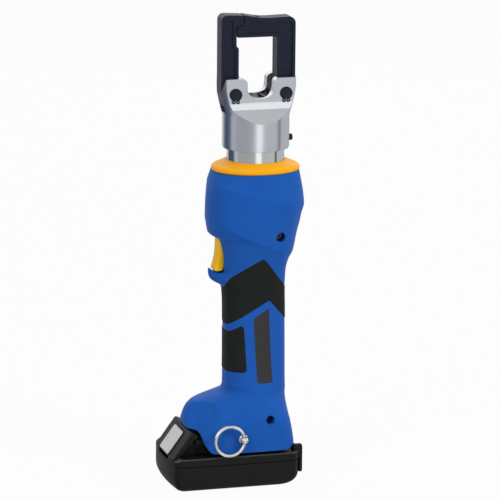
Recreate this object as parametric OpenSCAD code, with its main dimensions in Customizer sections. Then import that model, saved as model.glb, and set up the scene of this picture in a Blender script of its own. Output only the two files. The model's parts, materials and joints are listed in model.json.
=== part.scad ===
// Battery hydraulic crimping tool with a flip-top head, standing on its battery pack.
// Millimetres. +Z runs up the tool's axis, -X is the trigger side, the battery's underside is z = 0.

/* [Yoke] */
// Diameter of the yoke's collar
collar_d = 57.6; // [56:0.2:62]
// Height of the plain collar below the sloped flats
collar_h = 23.5; // [21:0.5:25]
// Height of the yoke from the collar's lower edge to the ears' tops
yoke_h = 61.5; // [60:0.5:66]
// Width over both ears
ear_w = 64.6; // [62:0.2:68]
// Thickness over both ear plates
ear_t = 31; // [29:0.5:33]
// Thickness over the flats where the step below the ears begins
flat_t = 34.4; // [33.4:0.2:38]
// Height of the step below the ears
step_h = 5.5; // [4:0.5:7]
// Depth of the arm slot below the pins
slot_depth = 16.5; // [16:0.5:18]
// Radius of the U window between the ears
window_r = 12; // [11:0.5:13]
// Depth of the U window below the pins
window_drop = 6.3; // [5:0.1:8]
// Radius of the ears' upper corners
ear_corner = 7; // [4:0.5:9]

/* [Pins] */
// Diameter of the two arm pins
pin_d = 8.4; // [8:0.1:9]
// Distance between the two pins
pin_span = 43.8; // [43:0.2:46]
// Height of the ears above the pins
ear_rise = 13.2; // [12.5:0.1:14.5]
// Outer diameter of a circlip
clip_d = 10.8; // [10.2:0.1:11.6]
// Thickness of a circlip
clip_t = 0.9; // [0.6:0.1:1.2]
// Diameter of a circlip's lugs
clip_lug_d = 2.6; // [2.2:0.1:3]

/* [Frame arms] */
// Thickness of the arms
arm_t = 14; // [12:0.5:16]
// Width of an arm's leg
arm_w = 16.4; // [15:0.2:18]
// Diameter of the arms' roots round the pins
root_d = 18.4; // [17:0.2:18.6]
// Height of the bar's underside above the pins
bar_rise = 47.2; // [44:0.2:52]
// Height of the bar
bar_h = 14; // [12:0.5:18]
// Height of the nose under the latch's hook
nose_h = 9.3; // [7:0.1:11]
// Reach of the latch's hook over the nose
hook_reach = 4.4; // [3.5:0.1:5]
// Play between hook and nose
hook_gap = 0.9; // [0.8:0.1:1.2]
// Slope of the hook's ledge in degrees
hook_slope = 8; // [6:1:12]
// How far the latch stands above the bar
latch_rise = 5; // [3:0.5:6]
// Reach of the latch's finger tail below its pin
tail_l = 13; // [10:0.5:13.5]
// Rim left round the sunk panels of the arms
panel_rim = 3; // [2:0.2:4]
// Depth of the sunk panels
panel_depth = 1; // [0.6:0.1:1.6]

/* [Ram and cylinder] */
// Diameter of the ram
ram_d = 24; // [20:0.5:24.4]
// Drop of the ram's top below the pins at rest
ram_drop = 3.8; // [2:0.2:8]
// Stroke of the ram
stroke = 30; // [22:1:30]
// Diameter of the piston
piston_d = 38; // [34:0.5:42]
// Height of the piston
piston_h = 12; // [10:0.5:14]
// Diameter of the neck
neck_d = 50.6; // [49:0.2:52]
// Length of neck seen between trim ring and collar
neck_show = 9.5; // [6:0.5:14]
// Depth of the neck in the collar
neck_in = 15; // [13:0.5:18]
// Thickness of the cylinder's closed end
cylinder_base = 7; // [5:0.5:9]
// Length of the cylinder's rod guide
guide_l = 12; // [9:0.5:14]
// Wire of the return spring
return_wire = 3.2; // [2.4:0.2:3.6]
// Turns of the return spring
return_turns = 4.5; // [3.5:0.5:5]

/* [Body] */
// Greatest width of the upper body, front to back
body_w = 84.4; // [82:0.2:88]
// Greatest depth of the upper body, side to side
body_d = 62; // [61:0.2:66]
// Height of the housing
body_h = 239; // [236:0.5:244]
// Wall of the housing
wall = 2.5; // [2:0.1:3]
// Height of the trim ring
trim_h = 9; // [7:0.5:12]
// Thickness of the rubber grip
rubber_t = 0.9; // [0.5:0.1:1.4]
// Thickness of the label
label_t = 0.3; // [0.2:0.1:0.6]
// Diameter of the sunk screw holes
screw_hole_d = 7.4; // [7:0.1:8]
// Diameter of the housing screws' heads
screw_head_d = 6.4; // [5.8:0.1:6.6]
// Diameter of the housing screws' shanks
screw_d = 3.5; // [3:0.1:4]

/* [Trigger] */
// Height of the trigger as a share of the body's height
trigger_share = 0.115; // [0.106:0.001:0.117]
// Width of the trigger
trigger_w = 15; // [13:0.5:16]
// Diameter of the trigger's pin
trigger_pin_d = 3; // [2.6:0.1:3.2]
// Pull of the trigger in degrees
trigger_pull = 9; // [6:1:9]

/* [Drive] */
// Diameter of the motor as a share of the body's room
motor_share = 0.565; // [0.535:0.005:0.57]
// Gap between the pump block and the cylinder as a share of the body's height
pump_gap_share = 0.0795; // [0.0775:0.0005:0.1]
// Gear module as a share of the motor's diameter
module_share = 0.0228; // [0.0212:0.0002:0.0228]
// Teeth of the sun gear and of each planet
sun_teeth = 12; // [12]
// Teeth of the ring gear
ring_teeth = 36; // [36]
// Backlash of the gears
backlash = 0.3; // [0.24:0.02:0.36]
// Length of the gears' teeth
gear_l = 8; // [6:0.5:8.5]
// Diameter of the pump block as a share of the body's room
pump_share = 0.484; // [0.455:0.001:0.488]
// Throw of the eccentric
throw = 1.5; // [1:0.1:1.6]
// Diameter of the pump plunger
plunger_d = 6; // [5:0.2:7]

/* [Battery] */
// Length of the battery
battery_l = 116.5; // [115:0.5:120]
// Width of the battery
battery_w = 75; // [74:0.5:78]
// Height of the battery up to its rim
battery_h = 29; // [28:0.5:32]
// Overhang of the battery's back behind the tool's axis
battery_back = 36.5; // [36:0.5:38]
// Height of the tray's parting line
tray_h = 22; // [21.6:0.2:23]
// Corner radius of the battery in plan
battery_corner = 14; // [10:0.5:16]
// Wall of the battery's case
case_wall = 2.2; // [1.8:0.1:2.4]
// Diameter of a cell
cell_d = 18.4; // [18:0.1:18.6]
// Length of a cell
cell_l = 65; // [64:0.5:66]
// Height of the rails' deck above the rim
deck_h = 13; // [12.5:0.1:13]
// Travel of the release button, straight down
button_travel = 3; // [2:0.2:3]

/* [Lanyard ring] */
// Wire of the lanyard ring
ring_wire = 3; // [2.4:0.1:3.2]
// Diameter of the lanyard ring at the middle of its wire
ring_d = 25.4; // [22:0.2:28]
// Diameter of the stud's ball
stud_ball_d = 7.2; // [6.8:0.1:8]

/* [Fits] */
// Running clearance of pins and shafts, on the radius
running_fit = 0.08; // [0.04:0.01:0.1]
// Clearance between pieces that move past each other
slip = 0.3; // [0.25:0.05:0.4]
// Gap between foot and battery rim
foot_gap = 2; // [1.6:0.1:2.4]

/* [Hidden] */
$fn = 48;
overrun = 1;

// Heights up the tool's axis
foot_z = battery_h + foot_gap;
body_top = foot_z + body_h;
trim_top = body_top + trim_h;
collar_z = trim_top + neck_show;
ear_top = collar_z + yoke_h;
pin_z = ear_top - ear_rise;
slot_floor = pin_z - slot_depth;
cylinder_top = collar_z + neck_in;
guide_z = cylinder_top - guide_l;
spring_solid = return_wire * (return_turns + 1);
bore_z = guide_z - stroke - spring_solid - piston_h - 3 * slip;
cylinder_z = bore_z - cylinder_base;
ram_top = pin_z - ram_drop;
piston_z = bore_z + slip;

// Sizes that follow the body's: its room is the smaller of its depth and a share of its width
room_share = 0.735;
body_room = min(body_d, body_w * room_share);
trigger_h = trigger_share * body_h;
motor_d = motor_share * body_room;
gear_module = module_share * motor_d;
pump_d = pump_share * body_room;
pump_h = 0.117 * body_h;
pump_gap = pump_gap_share * body_h;

// Half sizes
collar_r = collar_d / 2;
ear_r = ear_w / 2;
pin_x = pin_span / 2;
pin_r = pin_d / 2;
root_r = root_d / 2;
ram_r = ram_d / 2;
neck_r = neck_d / 2;
half_w = body_w / 2;
half_d = body_d / 2;

// Shared small sizes of the head
collar_chamfer = 2;
swivel_wire = 2;
swivel_rise = neck_in / 2;
plug_d = 5.6;
plug_out = 3.2;
plug_shank_d = 4;
pin_out = 1.9;
clip_groove = 0.5;
spring_wire_d = 1.2;
latch_coil_r = 5.8;
latch_pocket = 4.6;
latch_turns = 2;
die_slot_w = 10;
die_slot_depth = 2.5;
seal_h = 4;
seal_depth = 2.2;
oil_port_d = 4;

// Sections of the housing, bottom to top: height, front, rear and side as shares of body_h, half_w, half_w
// and half_d, then the squareness of the section
body_shares = [
    [0.000, 1.469, 0.818, 1.129, 4.5],
    [0.059, 1.474, 0.787, 1.123, 4.5],
    [0.121, 1.464, 0.720, 1.097, 4.2],
    [0.146, 1.445, 0.694, 1.058, 4.0],
    [0.167, 1.398, 0.673, 0.994, 3.6],
    [0.184, 1.256, 0.659, 0.935, 3.3],
    [0.201, 0.995, 0.647, 0.871, 3.0],
    [0.222, 0.746, 0.642, 0.794, 2.7],
    [0.251, 0.659, 0.640, 0.723, 2.6],
    [0.310, 0.645, 0.633, 0.684, 2.6],
    [0.414, 0.649, 0.616, 0.671, 2.6],
    [0.519, 0.656, 0.602, 0.677, 2.6],
    [0.569, 0.673, 0.595, 0.697, 2.6],
    [0.588, 0.749, 0.597, 0.710, 2.6],
    [0.604, 0.896, 0.602, 0.719, 2.6],
    [0.619, 0.960, 0.607, 0.729, 2.5],
    [0.640, 0.983, 0.614, 0.745, 2.5],
    [0.649, 0.957, 0.618, 0.755, 2.5],
    [0.652, 0.687, 0.621, 0.758, 2.6],
    [0.680, 0.678, 0.661, 0.787, 2.6],
    [0.707, 0.678, 0.739, 0.826, 2.5],
    [0.736, 0.682, 0.796, 0.871, 2.4],
    [0.7615, 0.699, 0.829, 0.903, 2.3],
    [0.765, 0.853, 0.832, 0.906, 2.3],
    [0.774, 0.943, 0.846, 0.919, 2.3],
    [0.808, 0.983, 0.896, 0.961, 2.3],
    [0.845, 1.002, 0.943, 0.987, 2.3],
    [0.875, 1.000, 0.995, 1.000, 2.3],
    [0.916, 0.981, 0.972, 1.000, 2.3],
    [0.967, 0.948, 0.934, 0.994, 2.2],
    [1.000, 0.905, 0.905, 0.984, 2.2]
];
// The trigger's throat: between these heights the cavity keeps behind the trigger
throat_shares = [0.58, 0.80];
throat_front_share = 0.687;
// The trim ring's sections: height as a share of trim_h, then width and depth of the body's top taken up
trim_shares = [[0, 1.00], [0.28, 0.99], [0.52, 0.86], [0.75, 0.56], [0.92, 0.26], [1, 0.12]];
// Outlines on the grip's side: X and height as shares of half_w and body_h
band_shares = [
    [-1.18, 0.573], [-0.687, 0.582], [-0.332, 0.656], [0.021, 0.692], [0.232, 0.656], [0.464, 0.597],
    [1.18, 0.582], [1.18, 0.469], [0.467, 0.485], [0.178, 0.541], [-0.275, 0.496], [-0.614, 0.470],
    [-1.18, 0.465]
];
pad_shares = [
    [-1.18, 0.441], [-0.647, 0.440], [-0.386, 0.453], [-0.334, 0.447], [-0.277, 0.297], [-0.377, 0.281],
    [-0.75, 0.295], [-1.18, 0.290]
];
label_shares = [[-0.166, 0.483], [0.149, 0.521], [0.190, 0.481], [0.270, 0.233], [-0.066, 0.233]];
// The trigger's outline: X behind its upper front corner and height, both as shares of trigger_h
trigger_shares = [
    [0, 0.98], [-0.005, 0.69], [-0.018, 0.44], [-0.07, 0.22], [-0.13, 0.04], [-0.12, 0], [0.04, 0.03],
    [0.19, 0.07], [0.24, 0.25], [0.255, 0.60], [0.36, 0.76], [0.36, 0.94], [0.2, 1]
];
trigger_pivot_shares = [0.265, 0.85];
// The housing screws: X and the reach of the boss as shares of half_w and half_d, then their heights
screw_shares = [[0.344, 0.794], [0.154, 1.048]];
screw_below = pump_gap * 0.421;
screw_heights = [cylinder_z - screw_below, foot_z + 0.110 * body_h];
// The flare of the yoke from collar to ears: share of the radius gained, share of the height between
flare_shares = [[0, 0.12], [0.35, 0.42], [1, 0.92]];
// The step between the battery's tray and its underside: inset and height as shares of tray_edge
tray_edge_shares = [[1, 0], [0.42, 0.2], [0.12, 0.55], [0, 1]];
tray_edge = 7;

// The trigger's place
trigger_z = foot_z + 0.648 * body_h;
trigger_front = -0.82 * half_w;
trigger_pivot = [
    trigger_front + trigger_pivot_shares[0] * trigger_h,
    trigger_z + trigger_pivot_shares[1] * trigger_h
];
trigger_play = 0.5;
trigger_eye = 1.8;
trigger_wire = 0.7;
trigger_coil_l = 6;
trigger_turns = 5;

// Drive train heights, from the cylinder down to the motor
motor_r = motor_d / 2;
end_cap_h = 6;
can_wall = 1.2;
shaft_d = 4;
gear_lead = 4;
gear_space = 1.2;
carrier_h = 4;
carrier_pin_d = 3;
drive_shaft_d = 8;
bearing_d = 16;
bearing_h = 6;
pump_r = pump_d / 2;
pump_top = cylinder_z - pump_gap;
case_top = pump_top - pump_h;
bearing_z = case_top - can_wall - bearing_h;
carrier_z = bearing_z - 2 * slip - carrier_h;
gear_z = carrier_z - gear_space - gear_l;
motor_top = gear_z - gear_lead;
motor_z = foot_z + 0.28 * body_h;
motor_l = motor_top - motor_z;
pump_neck_d = 15;
cam_d = 12;
cam_h = 7;
cam_wall = 2;
cam_lead = 5;
cam_z = case_top + cam_lead;
chamber_r = cam_d / 2 + cam_wall + throw + 2 * slip;
chamber_lead = 4;
chamber_h = cam_lead + cam_h + chamber_lead;
shaft_top = case_top + chamber_h + chamber_lead;
plunger_z = cam_z + cam_h / 2;
plunger_in = cam_d / 2 + cam_wall + throw + slip;
valve_d = 8;
valve_head_d = 9.5;
valve_out = 4.5;
valve_depth = pump_r * 0.4;
valve_z = pump_top - valve_d * 0.8;
reservoir_w = 22;
reservoir_t = 6.5;
reservoir_h = 13;

// Gears: pitch radii and tooth form
sun_r = gear_module * sun_teeth / 2;
orbit_r = gear_module * sun_teeth;
ring_r = gear_module * ring_teeth / 2;
addendum = gear_module * 0.9;
dedendum = gear_module * 1.2;
tip_share = 0.5;
root_share = 1.5;

// Switch, board and leads
switch_w = 14;
switch_h = 16;
switch_depth = half_w * 0.19;
switch_z = trigger_z + trigger_h * 0.2;
switch_back = -pump_r - slip;
switch_front = switch_back - switch_depth;
key_d = 3.2;
key_z = switch_z + switch_h / 2;
board_l = 42;
board_w = 32;
board_t = 1.6;
board_z = foot_z + 0.206 * body_h;
lead_d = 2;
lead_y = 5;
lead_x = -10;
motor_lead_y = 10;
switch_lead_x = switch_front + lead_d;
shelf_h = 2.4;
shelf_r = 14;

// Foot, rails and battery
deck_z = battery_h;
deck_top = deck_z + deck_h;
ceiling_clear = 4.4;
ceiling_z = deck_top + ceiling_clear;
ceiling_t = 2.5;
flange_y = 24;
deck_y = 19.5;
lip_y = 25;
lip_t = 5;
lip_h = 4.6;
rail_z = battery_h + lip_h + slip;
flange_t = 5;
rail_top = deck_top - flange_t - slip;
deck_front = -57;
deck_back = 27;
skirt_x = -45;
skirt_front_x = -62.5;
skirt_front_h = 18.8;
skirt_rear_h = 5.6;
front_x = battery_back - battery_l;
mid_x = battery_back - battery_l / 2;
block_y = 24;
block_top = 14.5;
block_nose = 17.8;
slope_x = -66;
slope_rise = 18.3;
slope_foot = 0.5;
slope_top = [slope_x, slope_rise];
slope_low = [front_x + 0.4 * case_wall, slope_foot];
slope_a = 90 + atan2(slope_top[0] - slope_low[0], slope_top[1] - slope_low[1]);
button_l = 16.8;
button_w = 28;
button_t = 3.4;
button_proud = 0.6;
button_start = 1.2;
plate_t = 0.5;
plate_rim = 0.8;
peg_x = -68.5;
peg_d = 4.4;
peg_l = 5;
peg_rise = 7.6;
peg_z = battery_h + peg_rise;
button_coil_l = 5.6;
button_wire = 0.5;
button_turns = 4;
cell_gap = 0.4;
cell_pitch = cell_d + cell_gap;
cell_count = 5;
blade_y = 9;
blade_t = 0.8;
blade_l = 18;
blade_x = -30;
blade_drop = 4.5;
contact_t = 0.6;
contact_gap = 1.2;
contact_h = 7;
block_l = 26;
block_w = 28;
block_h = 11;
block_x = -32;
case_screw_d = 3;
case_screw_l = 23;
case_screw_head_d = 5.2;
case_screw_x = 8.2;
case_screw_y = 29.3;

// Lanyard ring
ring_y = -(max(battery_w / 2, half_d * body_shares[0][3]) + ring_wire / 2 + 2 * slip);
stud_x = -18.5;
stud_rise = 14.5;
stud_z = battery_h + stud_rise;
stud_d = 4;
stud_flange_d = 8;
stud_flange_t = 1;
stud_side = half_d * 1.122;

// Curve helpers
ring_n = 28;
corner_n = 5;
function unit(v) = v / norm(v);
function bend(a, b, c, n) =
    b[2] == undef || b[2] == 0 ? [[b[0], b[1]]] :
    let (
        p = [b[0], b[1]],
        s = p + unit([a[0], a[1]] - p) * b[2],
        e = p + unit([c[0], c[1]] - p) * b[2]
    )
    [for (i = [0 : n]) let (t = i / n) s * pow(1 - t, 2) + p * 2 * t * (1 - t) + e * pow(t, 2)];
// An outline whose corners [x, y, r] are rounded over the length r
function rounded(pts) = [
    for (i = [0 : len(pts) - 1])
        each bend(pts[(i + len(pts) - 1) % len(pts)], pts[i], pts[(i + 1) % len(pts)], corner_n)
];
function power_arc(c, k) = sign(c) * pow(abs(c), 2 / k);
// One section of the housing as a ring of points at height z
function section(z, front, rear, side, k) = [
    for (i = [0 : ring_n - 1])
        let (a = 360 * i / ring_n, c = cos(a), s = sin(a))
        [(c > 0 ? rear : front) * power_arc(c, k), side * power_arc(s, k), z]
];
// A rounded rectangle in plan, drawn in by inset
function plan(x0, x1, half, r, inset, z) = [
    for (q = [[1, 1, 0], [-1, 1, 90], [-1, -1, 180], [1, -1, 270]])
        for (i = [0 : corner_n])
            let (
                a = q[2] + 90 * i / corner_n,
                cx = q[0] > 0 ? x1 - r : x0 + r
            )
            [cx + (r - inset) * cos(a), q[1] * (half - r) + (r - inset) * sin(a), z]
];
// A closed solid through rings of equal length, lowest first
module skinned(rings) {
    n = len(rings[0]);
    m = len(rings);
    sides = [
        for (j = [0 : m - 2])
            for (i = [0 : n - 1])
                let (a = j * n + i, b = j * n + (i + 1) % n, c = a + n, d = b + n)
                each [[a, c, b], [b, c, d]]
    ];
    floor = [[for (i = [0 : n - 1]) i]];
    roof = [[for (i = [0 : n - 1]) m * n - 1 - i]];
    polyhedron([for (r = rings) each r], concat(sides, floor, roof), convexity = 6);
}
// A helical tube round Z from z = 0 up
function coil_ring(r, wire, h, turns, t, sides) =
    let (
        a = 360 * turns * t,
        out = [cos(a), sin(a), 0],
        along = unit([-r * sin(a), r * cos(a), h / (2 * PI * turns)]),
        up = cross(out, along)
    )
    [for (k = [0 : sides - 1]) let (b = -360 * k / sides)
        r * out + [0, 0, wire / 2 + (h - wire) * t] + (wire / 2) * (cos(b) * out + sin(b) * up)];
module coil(r, wire, h, turns) {
    n = ceil(8 * turns);
    skinned([for (i = [0 : n]) coil_ring(r, wire, h, turns, i / n, 6)]);
}
coil_gap = (guide_z - piston_z - piston_h - 2 * slip - return_wire) / return_turns - return_wire;
echo(return_spring_gap = coil_gap);

// Placing helpers
module across(t) { rotate([90, 0, 0]) linear_extrude(t, center = true, convexity = 6) children(); }
module along_x(l) { rotate([90, 0, 90]) linear_extrude(l, center = true, convexity = 6) children(); }
module y_rod(x, z, r, y0, y1) {
    translate([x, y0, z]) rotate([-90, 0, 0]) cylinder(h = y1 - y0, r = r);
}
module x_rod(y, z, r, x0, x1) {
    translate([x0, y, z]) rotate([0, 90, 0]) cylinder(h = x1 - x0, r = r);
}
module rod(x, y, r, z0, z1) { translate([x, y, z0]) cylinder(h = z1 - z0, r = r); }
module box(x0, x1, y0, y1, z0, z1) { translate([x0, y0, z0]) cube([x1 - x0, y1 - y0, z1 - z0]); }
module mid_box(x0, x1, half, z0, z1) { box(x0, x1, -half, half, z0, z1); }

// Yoke: a turned body, cut to flats, slotted for the arms and bored for pins, ram and neck
function flare_point(s) = [
    collar_r + s[0] * (ear_r - collar_r),
    collar_z + collar_h + s[1] * (ear_top - collar_z - collar_h)
];
module yoke_turned() {
    rotate_extrude()
        polygon(concat(
            [[0, collar_z], [collar_r - collar_chamfer, collar_z], [collar_r, collar_z + collar_chamfer]],
            [for (s = flare_shares) flare_point(s)],
            [[ear_r, ear_top], [0, ear_top]]
        ));
}
module yoke_flats() {
    smile_z = collar_z + collar_h;
    step_low = pin_z - window_drop - step_h - overrun;
    side = [
        [collar_r + overrun, collar_z],
        [collar_r + overrun, smile_z - overrun * (step_low - smile_z) / (collar_r - flat_t / 2)],
        [flat_t / 2, step_low], [ear_t / 2, step_low + step_h], [ear_t / 2, ear_top]
    ];
    along_x(ear_w)
        polygon(concat(side, [for (i = [len(side) - 1 : -1 : 0]) [-side[i][0], side[i][1]]]));
}
module yoke_outline() {
    across(collar_d + ear_w)
        polygon(rounded([
            [-ear_r, collar_z], [ear_r, collar_z], [ear_r, ear_top, ear_corner],
            [window_r, ear_top, ear_corner / 2], [-window_r, ear_top, ear_corner / 2],
            [-ear_r, ear_top, ear_corner]
        ]));
}
module yoke() color("silver") difference() {
    intersection() {
        yoke_turned();
        yoke_flats();
        yoke_outline();
    }
    mid_box(-ear_w, ear_w, arm_t / 2 + slip, slot_floor, ear_top + overrun);
    y_rod(0, pin_z - window_drop + window_r, window_r, -ear_t, ear_t);
    mid_box(-window_r, window_r, ear_t, pin_z - window_drop + window_r, ear_top + overrun);
    rod(0, 0, ram_r + running_fit, collar_z, ear_top + overrun);
    rod(0, 0, neck_r + running_fit, collar_z - overrun, cylinder_top + slip);
    for (s = [-1, 1]) y_rod(s * pin_x, pin_z, pin_r + running_fit, -ear_t, ear_t);
    swivel_groove();
    x_rod(0, collar_z + swivel_rise, plug_shank_d / 2 + running_fit, neck_r, collar_r + overrun);
}

// Swivel: a wire ring half in the neck and half in the collar keeps the head on
module swivel_torus(r) {
    translate([0, 0, collar_z + swivel_rise])
        rotate_extrude() translate([neck_r, 0]) circle(r);
}
module swivel_groove() { swivel_torus(swivel_wire / 2 + running_fit); }
module swivel_ring() color("dimgray") swivel_torus(swivel_wire / 2);
module swivel_plug() color("black") {
    z = collar_z + swivel_rise;
    x_rod(0, z, plug_shank_d / 2, neck_r + swivel_wire, collar_r + slip);
    x_rod(0, z, plug_d / 2, collar_r + slip / 2, collar_r + plug_out);
}

// Frame arms, drawn with height above the pins
latch_in = ear_r - arm_w - panel_rim / 2;
nose_x = -latch_in - panel_rim / 2 + hook_gap;
hook_x = nose_x + hook_reach;
nose_top = bar_rise + nose_h;
ledge_rise = (hook_reach + hook_gap) * tan(hook_slope);
arm_top = bar_rise + bar_h;
latch_top = arm_top + latch_rise;
arm_in = ear_r - arm_w;
module top_arm_outline() {
    saddle = latch_rise * 0.8;
    polygon(rounded([
        [arm_in, 0], [arm_in, bar_rise, panel_rim], [nose_x, bar_rise, hook_gap],
        [nose_x, nose_top, hook_gap / 2], [hook_x + hook_gap, nose_top + ledge_rise],
        [hook_x + hook_gap, arm_top + saddle, hook_gap], [0, arm_top - hook_gap, saddle],
        [ear_r, arm_top, ear_corner], [ear_r, root_r / 2, root_r / 4], [pin_x + root_r * 0.8, 0]
    ]));
}
module latch_arm_outline() {
    step = bar_rise * 0.81;
    tail = ear_r - pin_x;
    polygon(rounded([
        [-pin_x + root_r * 0.7, 0], [-latch_in, root_r / 2], [-latch_in, step, hook_gap],
        [-latch_in - panel_rim / 2, step + panel_rim / 2],
        [-latch_in - panel_rim / 2, nose_top + hook_gap],
        [hook_x, nose_top + hook_gap + hook_reach * tan(hook_slope), hook_gap / 2],
        [hook_x, latch_top, panel_rim / 2], [-ear_r, latch_top, ear_corner], [-ear_r, 0, root_r / 4],
        [-pin_x - tail * 0.75, -tail_l, hook_gap], [-pin_x - tail * 0.55, -tail_l, hook_gap],
        [-pin_x, -root_r * 0.5]
    ]));
}
module arm_panels() {
    for (s = [-1, 1])
        translate([0, s * (arm_t / 2 + overrun - panel_depth), pin_z])
            across(2 * overrun) children();
}
module top_arm_panel() {
    polygon(rounded([
        [arm_in + panel_rim, root_r], [ear_r - panel_rim, root_r],
        [ear_r - panel_rim, arm_top - panel_rim, panel_rim], [hook_x + 2 * panel_rim, arm_top - panel_rim],
        [hook_x + panel_rim / 2, bar_rise + panel_rim], [arm_in + panel_rim, bar_rise + panel_rim]
    ]));
}
module latch_arm_panel() {
    polygon([
        [-ear_r + panel_rim, root_r], [-latch_in - 1.5 * panel_rim, root_r],
        [-latch_in - 1.5 * panel_rim, latch_top - 2 * panel_rim],
        [-ear_r + panel_rim, latch_top - panel_rim]
    ]);
}
module top_arm() color([0.11, 0.12, 0.16]) difference() {
    union() {
        translate([0, 0, pin_z]) across(arm_t) top_arm_outline();
        y_rod(pin_x, pin_z, root_r, -arm_t / 2, arm_t / 2);
    }
    arm_panels() top_arm_panel();
    y_rod(pin_x, pin_z, pin_r + running_fit, -arm_t, arm_t);
}
module latch_arm() color([0.11, 0.12, 0.16]) difference() {
    union() {
        translate([0, 0, pin_z]) across(arm_t) latch_arm_outline();
        y_rod(-pin_x, pin_z, root_r, -arm_t / 2, arm_t / 2);
    }
    arm_panels() latch_arm_panel();
    y_rod(-pin_x, pin_z, pin_r + running_fit, -arm_t, arm_t);
    y_rod(-pin_x, pin_z, latch_coil_r + spring_wire_d, -arm_t / 2 - overrun, latch_pocket - arm_t / 2);
}

// Pins with a circlip at each end
clip_in = ear_t / 2 + slip / 3;
module arm_pin(x) {
    half = ear_t / 2 + pin_out;
    groove_r = pin_r - clip_groove;
    side = [
        [0, -half], [pin_r - clip_groove / 2, -half], [pin_r, -half + clip_groove / 2],
        [pin_r, -clip_in - clip_t - slip / 3], [groove_r, -clip_in - clip_t - slip / 3],
        [groove_r, -clip_in], [pin_r, -clip_in]
    ];
    translate([x, 0, pin_z]) rotate([-90, 0, 0])
        rotate_extrude()
            polygon(concat(side, [for (i = [len(side) - 1 : -1 : 0]) [side[i][0], -side[i][1]]]));
}
module hinge_pin() color([0.09, 0.09, 0.11]) arm_pin(pin_x);
module latch_pin() color([0.09, 0.09, 0.11]) arm_pin(-pin_x);
module circlip(x, y) {
    lug_r = clip_lug_d / 2;
    reach = clip_d / 2 + lug_r * 0.4;
    difference() {
        union() {
            y_rod(x, pin_z, clip_d / 2, y, y + clip_t);
            for (s = [-1, 1])
                y_rod(x + s * lug_r * 1.2, pin_z - reach, lug_r, y, y + clip_t);
        }
        y_rod(x, pin_z, pin_r - clip_groove + running_fit, y - overrun, y + clip_t + overrun);
        box(x - lug_r * 0.3, x + lug_r * 0.3, y - overrun, y + clip_t + overrun, pin_z - clip_d, pin_z);
        for (s = [-1, 1])
            y_rod(x + s * lug_r * 1.2, pin_z - reach, lug_r * 0.42, y - overrun, y + clip_t + overrun);
    }
}
module pin_circlips() color("black")
    for (s = [-1, 1]) {
        circlip(s * pin_x, -clip_in - clip_t);
        circlip(s * pin_x, clip_in);
    }
module latch_spring() color("gray")
    translate([-pin_x, slip - arm_t / 2, pin_z]) rotate([-90, 0, 0])
        coil(pin_r + running_fit + slip + spring_wire_d / 2, spring_wire_d, latch_pocket - 2 * slip, latch_turns);

// Ram with its piston, seal and return spring, in the cylinder whose neck shows
module ram() color([0.3, 0.31, 0.34]) difference() {
    union() {
        rod(0, 0, ram_r, piston_z + piston_h / 2, ram_top);
        rod(0, 0, piston_d / 2 - running_fit, piston_z, piston_z + piston_h);
    }
    mid_box(-die_slot_w / 2, die_slot_w / 2, ram_d, ram_top - die_slot_depth, ram_top + overrun);
    difference() {
        rod(0, 0, piston_d, piston_z + piston_h / 2 - seal_h / 2, piston_z + piston_h / 2 + seal_h / 2);
        rod(0, 0, piston_d / 2 - seal_depth, piston_z, piston_z + piston_h);
    }
}
module piston_seal() color("black") difference() {
    mid = piston_z + piston_h / 2;
    half = seal_h / 2 - running_fit;
    rod(0, 0, piston_d / 2 - running_fit, mid - half, mid + half);
    rod(0, 0, piston_d / 2 - seal_depth + running_fit, mid - seal_h, mid + seal_h);
}
module return_spring() color("gray")
    translate([0, 0, piston_z + piston_h + slip])
        coil((ram_r + piston_d / 2) / 2, return_wire, guide_z - piston_z - piston_h - 2 * slip, return_turns);
module cylinder_node() color([0.78, 0.78, 0.8]) difference() {
    rod(0, 0, neck_r, cylinder_z, cylinder_top);
    rod(0, 0, piston_d / 2, bore_z, guide_z);
    rod(0, 0, ram_r + running_fit, bore_z, cylinder_top + overrun);
    rod(0, 0, oil_port_d / 2, cylinder_z - overrun, bore_z + overrun);
    swivel_groove();
}

// Housing: two half shells lofted through the section table
function station(s, grow) = section(
    foot_z + s[0] * body_h, s[1] * half_w + grow, s[2] * half_w + grow, s[3] * half_d + grow, s[4]
);
function hollow_front(s) =
    s[0] > throat_shares[0] && s[0] < throat_shares[1] ? min(s[1], throat_front_share) : s[1];
function hollow(s) = section(
    foot_z + s[0] * body_h + (s[0] == 0 ? -overrun : s[0] == 1 ? overrun : 0),
    hollow_front(s) * half_w - wall, s[2] * half_w - wall, s[3] * half_d - wall, s[4]
);
module body_loft(grow, low, high) {
    skinned([for (s = body_shares) if (s[0] >= low && s[0] <= high) station(s, grow)]);
}
module shell() difference() {
    body_loft(0, 0, 1);
    skinned([for (s = body_shares) hollow(s)]);
}
function screw_at(i) = [screw_shares[i][0] * half_w, screw_heights[i], screw_shares[i][1] * half_d];
last_screw = len(screw_shares) - 1;
boss_r = screw_hole_d / 2 + wall / 2;
module cradle(r, z, t) { rod(0, 0, r, z, z + t); }
module cradles() {
    cradle(half_d * 0.645, motor_z + wall, wall);
    cradle(half_d * 0.645, motor_top - 2 * wall, wall);
    cradle(half_d * 0.66, bearing_z, wall);
    cradle(half_d * 0.70, case_top + wall, wall);
    cradle(half_d * 0.94, bore_z, wall);
    cradle(half_d * 0.94, body_top - 3 * wall, wall);
    difference() {
        cradle(half_d * 0.81, board_z - shelf_h, shelf_h - slip / 3);
        rod(0, 0, shelf_r, board_z - 2 * shelf_h, board_z);
    }
}
module rails() {
    for (s = [-1, 1]) {
        y = s * (deck_y + slip);
        box(skirt_x + wall, battery_back - 6 * wall, min(y, s * half_d * 1.07), max(y, s * half_d * 1.07),
            rail_z, rail_top);
    }
    mid_box(skirt_x + 2 * wall, battery_back - 6 * wall, half_d * 1.07, ceiling_z, ceiling_z + ceiling_t);
}
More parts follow.
